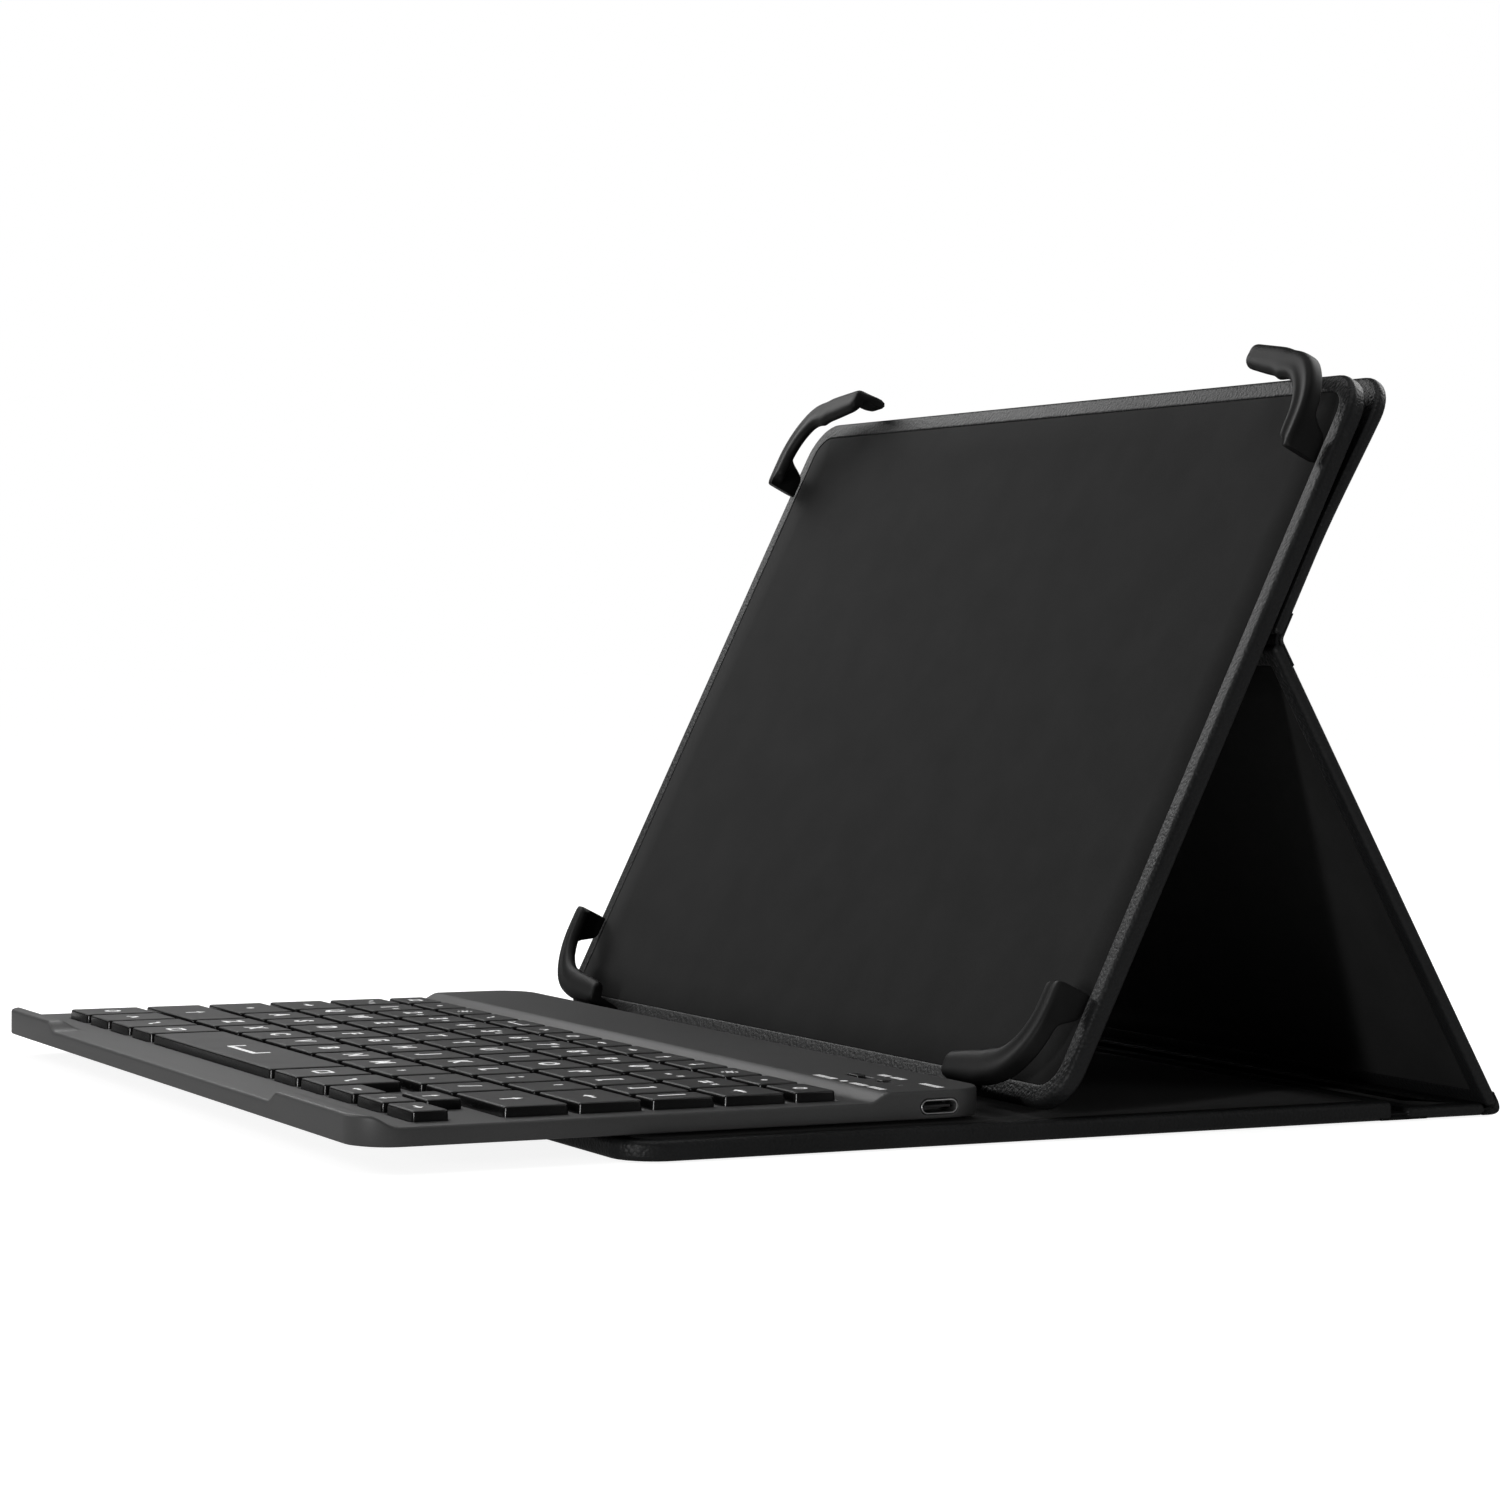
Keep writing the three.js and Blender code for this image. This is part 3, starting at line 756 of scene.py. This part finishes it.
def deckHeight(x, u):
    k = keyboard
    lip = 1 - smooth((u - k["lipFlat"]) / (k["lipFoot"] - k["lipFlat"]))
    into = min(x - k["notchLeft"], k["notchRight"] - x) / k["notchRamp"]
    lip *= 1 - smooth(into)
    rise = smooth((u - k["stepFront"]) / (k["stepBack"] - k["stepFront"]))
    return k["deck"] + lip * (k["lip"] - k["deck"]) + rise * (k["bridge"] - k["deck"])


def stops(*spans):
    out = []
    for low, high, count in spans:
        out += [(low + (high - low) * k / count) * mm for k in range(count + 1)]
    return sorted(set(round(v, 7) for v in out))


def caseSolid():
    k = keyboard
    plan = {"x0": k["left"], "x1": k["right"], "y0": 0, "y1": k["depth"],
            "front": k["corner"], "back": k["corner"]}
    xs = stops((-115, -93, 3), (-91.5, -84.5, 14), (-80, 66, 8), (70.5, 77.5, 14), (80, 110, 4))
    ys = stops((14, 112, 6), (114.5, 121.5, 14), (124, 134, 3))
    rim = k["rim"]

    def level(inset, drop=0.0, height=None):
        points = ring(plan, inset, xs, ys, 14)
        return [(x, y, height if height is not None else deckHeight(x, y) - drop)
                for x, y in points]

    low = k["floor"]
    rows = [level(k["wall"] + 9 * mm, height=k["ceiling"])]
    rows += [level(k["wall"], height=k["ceiling"]), level(k["wall"], height=low)]
    rows += [level(0.5 * mm, height=low), level(0.15 * mm, height=low + 0.15 * mm)]
    rows += [level(0.0, height=low + 0.5 * mm), level(0.0, drop=rim + 0.6 * mm)]
    rows += [level(rim - c, rim - s) for c, s in arc(0, 0, rim, 0, 90, 6)]
    insets = (1.3, 2.0, 2.6, 3.0, 3.5, 4.1, 4.8, 5.5, 6.2, 6.9, 7.6, 8.2, 8.8, 10)
    rows += [level(i * mm) for i in insets]
    bm = bmesh.new()
    loft(bm, rows, True, False)
    edge = k["corner"]
    gx = [plan["x0"] + edge, *xs, plan["x1"] - edge]
    gy = [plan["y0"] + edge, *ys, plan["y1"] - edge]
    grid = [[bm.verts.new((x, y, deckHeight(x, y))) for x in gx] for y in gy]
    for a, b in zip(grid, grid[1:]):
        for i in range(len(gx) - 1):
            bm.faces.new((a[i], a[i + 1], b[i + 1], b[i]))
    return newPiece("keyboardTopCase", bm, finishes["case"], 40)


# Keys: a small cap is stretched from its middle to each key's size.
keys = {
    "pitch": 17.1 * mm, "rowPitch": 16.8 * mm, "gap": 2 * mm, "bottomFront": 14.2 * mm,
    "bottomDepth": 18.2 * mm, "letterFront": 34.4 * mm, "functionDepth": 10 * mm, "units": 14,
    "foot": 2.9 * mm, "top": 6.5 * mm, "corner": 1.1 * mm, "cornerSteps": 5, "round": 0.45 * mm,
    "draft": 0.22 * mm, "unit": 3 * mm, "dish": 0.08 * mm, "opening": 0.35 * mm,
}


def keyPlan():
    k = keys
    left = -k["units"] * k["pitch"] / 2
    plan = []

    def row(front, back, items):
        unit = 0.0
        for node, width, marks in items:
            for mark in marks:
                x0 = left + unit * k["pitch"] + k["gap"] / 2
                unit += width
                x1 = left + unit * k["pitch"] - k["gap"] / 2
                if node:
                    plan.append({"node": node, "x": (x0 + x1) / 2, "u": (front + back) / 2,
                                 "hx": (x1 - x0) / 2, "hu": (back - front) / 2, "mark": mark})

    def letterRow(index, items):
        front = k["letterFront"] + index * k["rowPitch"]
        row(front, front + k["rowPitch"] - k["gap"], items)

    front, depth = k["bottomFront"], k["bottomDepth"]
    half = (depth - k["gap"]) / 2 + 0.2 * mm
    row(front, front + depth, [
        ("function_modifier_key", 1, ["ring"]), ("control_key", 1, ["roof"]),
        ("option_key", 1, ["step"]), ("command_key", 1, ["square"]), ("space_bar", 5, ["bar"]),
        ("right_command_key", 1, ["square"]), ("right_option_key", 1, ["step"]),
    ])
    row(front, front + half, [
        (None, 11, [""]), ("arrow_left_key", 1, ["left"]), ("arrow_down_key", 1, ["down"]),
        ("arrow_right_key", 1, ["right"]),
    ])
    row(front + depth - half, front + depth, [(None, 12, [""]), ("arrow_up_key", 1, ["up"])])
    letterRow(0, [("left_shift_key", 2.3, ["up"]), ("lower_letter_keys", 1, "ZXCVBNM,./"),
                  ("right_shift_key", 1.7, ["up"])])
    letterRow(1, [("caps_key", 1.6, ["dot"]), ("home_letter_keys", 1, "ASDFGHJKL;'"),
                  ("enter_key", 1.4, ["left"])])
    letterRow(2, [("tab_key", 1.3, ["right"]), ("upper_letter_keys", 1, "QWERTYUIOP[]"),
                  ("upper_letter_keys", 0.7, "|")])
    letterRow(3, [("number_keys", 1, "`1234567890-="), ("backspace_key", 1, ["left"])])
    front = k["letterFront"] + 4 * k["rowPitch"]
    marks = ["square", "dot", "sun", "step", "bar", "roof", "ring", "left", "right", "up",
             "down", "sun", "dot", "ring"]
    row(front, front + k["functionDepth"], [("function_keys", 1, marks)])
    return plan


def capUnit(name, profile, half=keys["unit"], corner=keys["corner"]):
    plan = {"x0": -half, "x1": half, "y0": -half, "y1": half, "front": corner, "back": corner}
    bm = bmesh.new()
    loft(bm, [[(x, y, z) for x, y in ring(plan, inset, steps=keys["cornerSteps"])]
              for inset, z in profile])
    piece = newPiece(name, bm, finishes["key"], 40)
    piece.hide_render = piece.hide_viewport = True
    return piece


# Node tree: a cap on every point, stretched outwards from its centre lines to the point's size.
def stretchTree():
    tree = bpy.data.node_groups.new("stretchedCaps", "GeometryNodeTree")
    face = tree.interface
    face.new_socket("Geometry", in_out="INPUT", socket_type="NodeSocketGeometry")
    face.new_socket("Cap", in_out="INPUT", socket_type="NodeSocketObject")
    face.new_socket("Unit Half", in_out="INPUT", socket_type="NodeSocketFloat")
    face.new_socket("Finish", in_out="INPUT", socket_type="NodeSocketMaterial")
    face.new_socket("Geometry", in_out="OUTPUT", socket_type="NodeSocketGeometry")

    def add(kind, settings=None, **inputs):
        made = tree.nodes.new(kind)
        for key, value in (settings or {}).items():
            setattr(made, key, value)
        for key, value in inputs.items():
            numbered = key[0] == "i" and key[1:].isdigit()
            socket = made.inputs[int(key[1:]) if numbered else key]
            if isinstance(value, bpy.types.NodeSocket):
                tree.links.new(value, socket)
            else:
                socket.default_value = value
        return made

    source = add("NodeGroupInput")
    info = add("GeometryNodeObjectInfo", Object=source.outputs["Cap"])
    kept = add("GeometryNodeStoreNamedAttribute", {"data_type": "FLOAT_VECTOR", "domain": "POINT"},
               Geometry=info.outputs["Geometry"], Name="local",
               Value=add("GeometryNodeInputPosition").outputs[0])
    placed = add("GeometryNodeInstanceOnPoints", Points=source.outputs["Geometry"],
                 Instance=kept.outputs[0])
    real = add("GeometryNodeRealizeInstances", Geometry=placed.outputs[0])
    local = add("GeometryNodeInputNamedAttribute", {"data_type": "FLOAT_VECTOR"}, Name="local")
    size = add("GeometryNodeInputNamedAttribute", {"data_type": "FLOAT_VECTOR"}, Name="half")
    unit = add("ShaderNodeCombineXYZ", i0=source.outputs["Unit Half"],
               i1=source.outputs["Unit Half"], i2=0.0)
    spare = add("ShaderNodeVectorMath", {"operation": "SUBTRACT"},
                i0=size.outputs["Attribute"], i1=unit.outputs[0])
    side = add("ShaderNodeVectorMath", {"operation": "SIGN"}, i0=local.outputs["Attribute"])
    push = add("ShaderNodeVectorMath", {"operation": "MULTIPLY"},
               i0=spare.outputs[0], i1=side.outputs[0])
    moved = add("GeometryNodeSetPosition", Geometry=real.outputs[0], Offset=push.outputs[0])
    painted = add("GeometryNodeSetMaterial", Geometry=moved.outputs[0],
                  Material=source.outputs["Finish"])
    add("NodeGroupOutput", i0=painted.outputs[0])
    return tree


def stretched(name, plan, cap, finish, tree, unit=keys["unit"]):
    mesh = bpy.data.meshes.new(name)
    mesh.from_pydata([(key["x"], key["u"], 0) for key in plan], [], [])
    half = mesh.attributes.new("half", "FLOAT_VECTOR", "POINT")
    half.data.foreach_set("vector", [c for key in plan for c in (key["hx"], key["hu"], 0.0)])
    piece = bpy.data.objects.new(name, mesh)
    bpy.context.scene.collection.objects.link(piece)
    modifier = piece.modifiers.new("caps", "NODES")
    modifier.node_group = tree
    values = {"Cap": cap, "Unit Half": unit, "Finish": finish}
    for item in tree.interface.items_tree:
        if item.in_out == "INPUT" and item.name in values:
            modifier[item.identifier] = values[item.name]
    frozen(piece)
    shadeSmooth(piece, 40)
    return piece


def cutWith(piece, cutter):
    cut = piece.modifiers.new("cut", "BOOLEAN")
    cut.operation, cut.solver, cut.object = "DIFFERENCE", "EXACT", cutter
    frozen(piece)
    bpy.data.objects.remove(cutter)
    return piece


def makeKeys(case, tree):
    k = keys
    plan = keyPlan()
    top = k["top"]
    r = k["round"]
    capProfile = [(1.2 * mm, k["foot"]), (0.0, k["foot"]), (0.0, k["foot"] + 0.5 * mm)]
    capProfile += [(k["draft"] + r - c, top - r + s) for c, s in arc(0, 0, r, 0, 90, 4)]
    capProfile += [(k["draft"] + r + 0.5 * mm, top - 0.01 * mm), (2.2 * mm, top - k["dish"])]
    cap = capUnit("capUnit", capProfile)
    deck = keyboard["deck"]
    grow = -k["opening"]
    wellProfile = [
        (grow, 0.5 * mm), (grow, deck - 0.22 * mm), (grow - 0.22 * mm, deck + 0.001 * mm),
        (grow - 0.5 * mm, deck + 3 * mm),
    ]
    well = capUnit("wellUnit", wellProfile)
    cutWith(case, stretched("wells", plan, well, finishes["case"], tree))
    made = []
    for node in dict.fromkeys(key["node"] for key in plan):
        mine = [key for key in plan if key["node"] == node]
        name = camel(node)
        piece = settle(stretched(name, mine, cap, finishes["key"], tree), onKeyboard)
        mount(piece, node, node)
        made.append((node, name, mine))
    for unit in (cap, well):
        bpy.data.objects.remove(unit)
    return made


# Printed marks: letters from the built-in font, the rest drawn as small outlines.
marks = {"letter": 6.4 * mm, "bold": 0.27 * mm, "icon": 2.4 * mm, "line": 0.85 * mm,
         "float": 0.02 * mm, "offset": (-1.6 * mm, 0.6 * mm)}


def strokeQuad(ax, ay, bx, by, width):
    d = Vector((bx - ax, by - ay))
    n = Vector((-d.y, d.x)).normalized() * width / 2
    return [(ax + n.x, ay + n.y), (ax - n.x, ay - n.y), (bx - n.x, by - n.y), (bx + n.x, by + n.y)]


def iconShapes(mark):
    r, w = marks["icon"], marks["line"]
    circle = arc(0, 0, 1, 0, 360, 20)
    turns = {"right": 0, "up": 90, "left": 180, "down": 270}
    if mark in turns:
        a = math.radians(turns[mark])
        c, d = math.cos(a), math.sin(a)
        head = [(r * 0.2, r * 0.55), (r * 0.2, -r * 0.55), (r, 0)]
        shapes = [strokeQuad(-r, 0, r * 0.4, 0, w), head]
        return [[(x * c - y * d, x * d + y * c) for x, y in shape] for shape in shapes]
    if mark == "dot":
        return [[(x * r * 0.4, y * r * 0.4) for x, y in circle[:-1]]]
    if mark in ("ring", "sun"):
        big = r * (0.8 if mark == "ring" else 0.45)
        shapes = [[(a[0] * big, a[1] * big), (b[0] * big, b[1] * big),
                   (b[0] * (big - w), b[1] * (big - w)), (a[0] * (big - w), a[1] * (big - w))]
                  for a, b in zip(circle, circle[1:])]
        if mark == "sun":
            shapes += [strokeQuad(x * r * 0.65, y * r * 0.65, x * r, y * r, w * 0.8)
                       for x, y in arc(0, 0, 1, 0, 315, 7)]
        return shapes
    lines = {
        "square": [(-1, -0.8, 1, -0.8), (1, -0.8, 1, 0.8), (1, 0.8, -1, 0.8), (-1, 0.8, -1, -0.8)],
        "bar": [(-2.6, -0.3, 2.6, -0.3), (-2.6, -0.48, -2.6, 0.9), (2.6, -0.48, 2.6, 0.9)],
        "roof": [(-0.9, -0.5, 0, 0.6), (0, 0.6, 0.9, -0.5)],
        "step": [(-1, 0.7, -0.3, 0.7), (-0.3, 0.7, 0.4, -0.7), (0.4, -0.7, 1, -0.7)],
    }
    for count in range(2, 10):
        spots = [(k - (count - 1) / 2) * 0.62 for k in range(count)]
        lines["run%d" % count] = [(x, -0.55, x, 0.55) for x in spots]
    lines = lines[mark]
    return [strokeQuad(*(c * r * 0.8 for c in line), w) for line in lines]


def letterMesh(letter):
    curve = bpy.data.curves.new("letter", "FONT")
    curve.body, curve.size = letter, marks["letter"]
    curve.align_x, curve.align_y = "CENTER", "CENTER"
    curve.resolution_u, curve.offset = 3, marks["bold"]
    text = bpy.data.objects.new("letter", curve)
    bpy.context.scene.collection.objects.link(text)
    graph = bpy.context.evaluated_depsgraph_get()
    mesh = bpy.data.meshes.new_from_object(text.evaluated_get(graph))
    bpy.data.objects.remove(text)
    return mesh


def printed(name, items, body):
    bm = bmesh.new()
    for mark, x, u, z, size in items:
        if len(mark) == 1:
            mesh = letterMesh(mark)
            mesh.transform(Matrix.Translation((x, u, z)) @ Matrix.Diagonal((size, size, 1, 1)))
            bm.from_mesh(mesh)
            bpy.data.meshes.remove(mesh)
            continue
        for shape in iconShapes(mark):
            bm.faces.new([bm.verts.new((x + a * size, u + b * size, z)) for a, b in shape])
    for face in bm.faces:
        face.normal_update()
        if face.normal.z < 0:
            face.normal_flip()
    mesh = bpy.data.meshes.new(name)
    bm.to_mesh(mesh)
    bm.free()
    mesh.materials.append(finishes["ink"])
    piece = bpy.data.objects.new(name, mesh)
    bpy.context.scene.collection.objects.link(piece)
    slotName = "case_plastic" if body == "keyboard" else "key_plastic"
    mount(settle(piece, onKeyboard), body)


def makeMarks(made):
    z = keys["top"] - keys["dish"] + marks["float"]
    dx, du = marks["offset"]
    for node, name, mine in made:
        items = []
        for key in mine:
            mark = key["mark"]
            if len(mark) == 1:
                items.append((mark, key["x"] + dx, key["u"] + du, z, 1.0))
            elif node == "space_bar":
                items.append((mark, key["x"], key["u"], z, 1.7))
            else:
                size = 0.85 if key["hu"] < 6 * mm else 1.1
                items.append((mark, key["x"], key["u"], z, size))
            if node == "number_keys":
                items.append(("run2", key["x"] + 3.6 * mm, key["u"] + du, z, 0.8))
        printed(name + "Marks", items, node)
    top = keyboard["bridge"] + 0.012 * mm
    labels = [
        ("run5", 91.6, 122.0, 0.9), ("run3", 96.4, 122.0, 0.9), ("dot", 102.2, 122.0, 1.0),
        ("run6", 109.2, 122.0, 0.9), ("run6", 117.2, 122.0, 0.9), ("run4", 96.4, 135.4, 0.9),
        ("run5", 102.6, 135.4, 0.9), ("run8", 117.4, 135.4, 0.9),
    ]
    printed("bridgeMarks", [(m, x * mm, u * mm, top, c) for m, x, u, c in labels], "keyboard")


# Small parts of the keyboard: switch, button, status light, feet and charging port.
small = {
    "switch": {"x": 94.0 * mm, "u": 129.5 * mm, "hx": 2.6 * mm, "hu": 1.1 * mm},
    "switchWell": {"x": 95.5 * mm, "u": 129.5 * mm, "hx": 4.4 * mm, "hu": 1.4 * mm},
    "button": {"x": 106.75 * mm, "u": 129.5 * mm, "hx": 1.3 * mm, "hu": 1.2 * mm},
    "buttonWell": {"x": 106.75 * mm, "u": 129.5 * mm, "hx": 1.6 * mm, "hu": 1.45 * mm},
    "light": {"x": 113.8 * mm, "u": 129.5 * mm, "hx": 0.5 * mm, "hu": 0.5 * mm},
    "lightWell": {"x": 113.8 * mm, "u": 129.5 * mm, "hx": 0.62 * mm, "hu": 0.62 * mm},
    "feet": [(-74, 7), (74, 7), (-74, 138), (74, 138)], "footHalf": 3.7 * mm,
    "port": {"u": 132.7 * mm, "z": 2.9 * mm, "width": 9 * mm, "height": 3.2 * mm, "deep": 6.8 * mm},
}


def stadium(width, height, inset, x, steps=9):
    radius = height / 2 - inset
    reach = width / 2 - height / 2
    port = small["port"]
    points = arc(reach, 0, radius, -90, 90, steps) + arc(-reach, 0, radius, 90, 270, steps)
    return [(x, port["u"] + a, port["z"] + b) for a, b in points]


def makePort(case):
    port = small["port"]
    width, height = port["width"], port["height"]
    end = keyboard["right"]
    bm = bmesh.new()
    loft(bm, [stadium(width, height, i, x) for i, x in (
        (-0.1 * mm, end - 4 * mm), (-0.1 * mm, end - 0.25 * mm), (-0.38 * mm, end + 0.02 * mm),
        (-0.4 * mm, end + 2 * mm))])
    cutWith(case, newPiece("portMouth", bm, finishes["case"]))
    bm = bmesh.new()
    loft(bm, [stadium(width, height, i, x) for i, x in (
        (0.0, end - port["deep"]), (0.0, end - 0.16 * mm), (0.05 * mm, end - 0.07 * mm),
        (0.15 * mm, end - 0.03 * mm), (0.27 * mm, end - 0.05 * mm), (0.33 * mm, end - 0.14 * mm),
        (0.33 * mm, end - port["deep"] + 0.5 * mm))])
    shell = settle(newPiece("portShell", bm, finishes["steel"], 40), onKeyboard)
    mount(shell, "keyboard", "charging_port_shell")
    bm = bmesh.new()
    tall, wide = 0.7 * mm, 6.6 * mm
    rings = []
    for inset, x in ((0.0, end - port["deep"] + 0.45 * mm), (0.0, end - 1.45 * mm),
                     (0.08 * mm, end - 1.28 * mm), (0.24 * mm, end - 1.2 * mm)):
        plan = {"x0": -wide / 2, "x1": wide / 2, "y0": -tall / 2, "y1": tall / 2,
                "front": 0.12 * mm, "back": 0.12 * mm}
        rings.append([(x, port["u"] + a, port["z"] + b) for a, b in ring(plan, inset, steps=3)])
    loft(bm, rings)
    tongue = settle(newPiece("portTongue", bm, finishes["port"], 40), onKeyboard)
    mount(tongue, "keyboard", "charging_port_tongue")


def makeSmallParts(case, tree):
    s = small
    top = keyboard["bridge"]
    unit, corner = 0.45 * mm, 0.42 * mm
    wellUnit = capUnit("smallWell", [
        (0.0, 0.5 * mm), (0.0, top - 0.15 * mm), (-0.15 * mm, top + 0.001 * mm),
        (-0.4 * mm, top + 2 * mm)], unit, corner)
    wells = [s["switchWell"], s["buttonWell"], s["lightWell"]]
    cutWith(case, stretched("smallWells", wells, wellUnit, finishes["case"], tree, unit))
    lift = 0.4 * mm
    knob = capUnit("knobUnit", [
        (0.3 * mm, 3.4 * mm), (0.0, 3.5 * mm), (0.0, top + lift - 0.25 * mm),
        (0.07 * mm, top + lift - 0.08 * mm), (0.2 * mm, top + lift)], unit, corner)
    rib = capUnit("ribUnit", [
        (0.0, top), (0.0, top + lift + 0.03 * mm), (0.03 * mm, top + lift + 0.09 * mm),
        (0.07 * mm, top + lift + 0.1 * mm)], 0.12 * mm, 0.1 * mm)
    slider = stretched("switchSlider", [s["switch"]], knob, finishes["key"], tree, unit)
    ribs = stretched("switchRibs", [
        {"x": s["switch"]["x"] + k * 0.8 * mm, "u": s["switch"]["u"], "hx": 0.16 * mm,
         "hu": 0.8 * mm} for k in (-1, 0, 1)], rib, finishes["key"], tree, 0.12 * mm)
    button = stretched("connectButton", [s["button"]], knob, finishes["key"], tree, unit)
    for piece, body, node in ((slider, "power_switch", "power_switch"),
                              (ribs, "power_switch", None),
                              (button, "connect_button", "connect_button")):
        mount(settle(piece, onKeyboard), body, node)
    lens = capUnit("lensUnit", [
        (0.05 * mm, 2.4 * mm), (0.0, 2.5 * mm), (0.0, top - 0.22 * mm),
        (0.12 * mm, top - 0.1 * mm), (0.3 * mm, top - 0.06 * mm)], unit, corner)
    light = settle(stretched("statusLight", [s["light"]], lens, finishes["light"], tree, unit),
                   onKeyboard)
    mount(light, "keyboard", "status_light")
    half = s["footHalf"]
    pad = capUnit("footUnit", [
        (0.4 * mm, 0.02 * mm), (0.05 * mm, 0.0), (0.0, -0.12 * mm), (0.05 * mm, -0.38 * mm),
        (0.2 * mm, -0.54 * mm), (0.5 * mm, -0.6 * mm), (2.2 * mm, -0.6 * mm)],
        half, half - 0.05 * mm)
    names = ["foot_front_left", "foot_front_right", "foot_rear_left", "foot_rear_right"]
    for (x, u), node in zip(s["feet"], names):
        plan = [{"x": x * mm, "u": u * mm, "hx": half, "hu": half}]
        foot = stretched(camel(node), plan, pad, finishes["silicone"], tree, half)
        mount(settle(foot, onKeyboard), "keyboard", node)
    for used in (wellUnit, knob, rib, lens, pad):
        bpy.data.objects.remove(used)


capTree = stretchTree()
case = caseSolid()
made = makeKeys(case, capTree)
makeMarks(made)
makeSmallParts(case, capTree)
makePort(case)
shadeSmooth(case, 40)
mount(settle(case, onKeyboard), "keyboard", "keyboard_top_case")
print("keyboard made,", len(made), "key pieces")


# Nodes of the frame that stay as they are and only get a finish.
kept = {
    "board": ["front_cover_board", "spine_board", "kickstand_board", "holder_board"],
    "magnet": ["stand_magnet_strip", "cover_magnet_left", "cover_magnet_right",
               "holder_magnet_strip", "keyboard_magnet_left", "keyboard_magnet_right"],
    "steel": ["key_support_plate"],
    "case": ["keyboard_bottom_case"],
    "circuit": ["keyboard_circuit_board"],
    "film": ["key_membrane"],
    "foil": ["keyboard_battery"],
}
for finish, nodes in kept.items():
    for node in nodes:
        for slot in frame["nodes"][node].material_slots:
            slot.material = finishes[finish]


def addFloor():
    bm = bmesh.new()
    bmesh.ops.create_grid(bm, x_segments=1, y_segments=1, size=studio["floorSize"] / 2)
    s = Sheet("paleFloor")
    distance = s.node("ShaderNodeVectorMath", {"operation": "LENGTH"}, {0: s.coords()}, output=1)
    near, far = studio["near"], studio["far"]
    reach = s.node("ShaderNodeMapRange", {}, {0: distance, 1: near, 2: far, 3: 0.0, 4: 1.0})
    low, high = studio["floorSeen"]
    seen = s.node("ShaderNodeLightPath")
    tone = studio["floorTone"]
    floor = newPiece("floor", bm, s.finish({
        "Base Color": s.mix(reach, grey(tone), grey(0.02)), "Roughness": 0.9,
        "Specular IOR Level": 0.0, "Emission Strength": 1.0,
        "Emission Color": s.mix(
            seen, grey(studio["floorGlow"]), s.mix(reach, grey(low), grey(high))),
    }))
    floor.location.z = -0.0002
    world = bpy.data.worlds.new("studio")
    bpy.context.scene.world = world
    world.use_nodes = True
    nodes, links = world.node_tree.nodes, world.node_tree.links
    nodes.clear()
    shown, glow = nodes.new("ShaderNodeBackground"), nodes.new("ShaderNodeBackground")
    glow.inputs[1].default_value = studio["glow"]
    for background in (shown, glow):
        background.inputs[0].default_value = (1, 1, 1, 1)
    path, mixed = nodes.new("ShaderNodeLightPath"), nodes.new("ShaderNodeMixShader")
    out = nodes.new("ShaderNodeOutputWorld")
    links.new(path.outputs["Is Camera Ray"], mixed.inputs[0])
    links.new(glow.outputs[0], mixed.inputs[1])
    links.new(shown.outputs[0], mixed.inputs[2])
    links.new(mixed.outputs[0], out.inputs[0])
    bpy.context.scene.view_settings.view_transform = "Standard"


addFloor()
print("finishing")
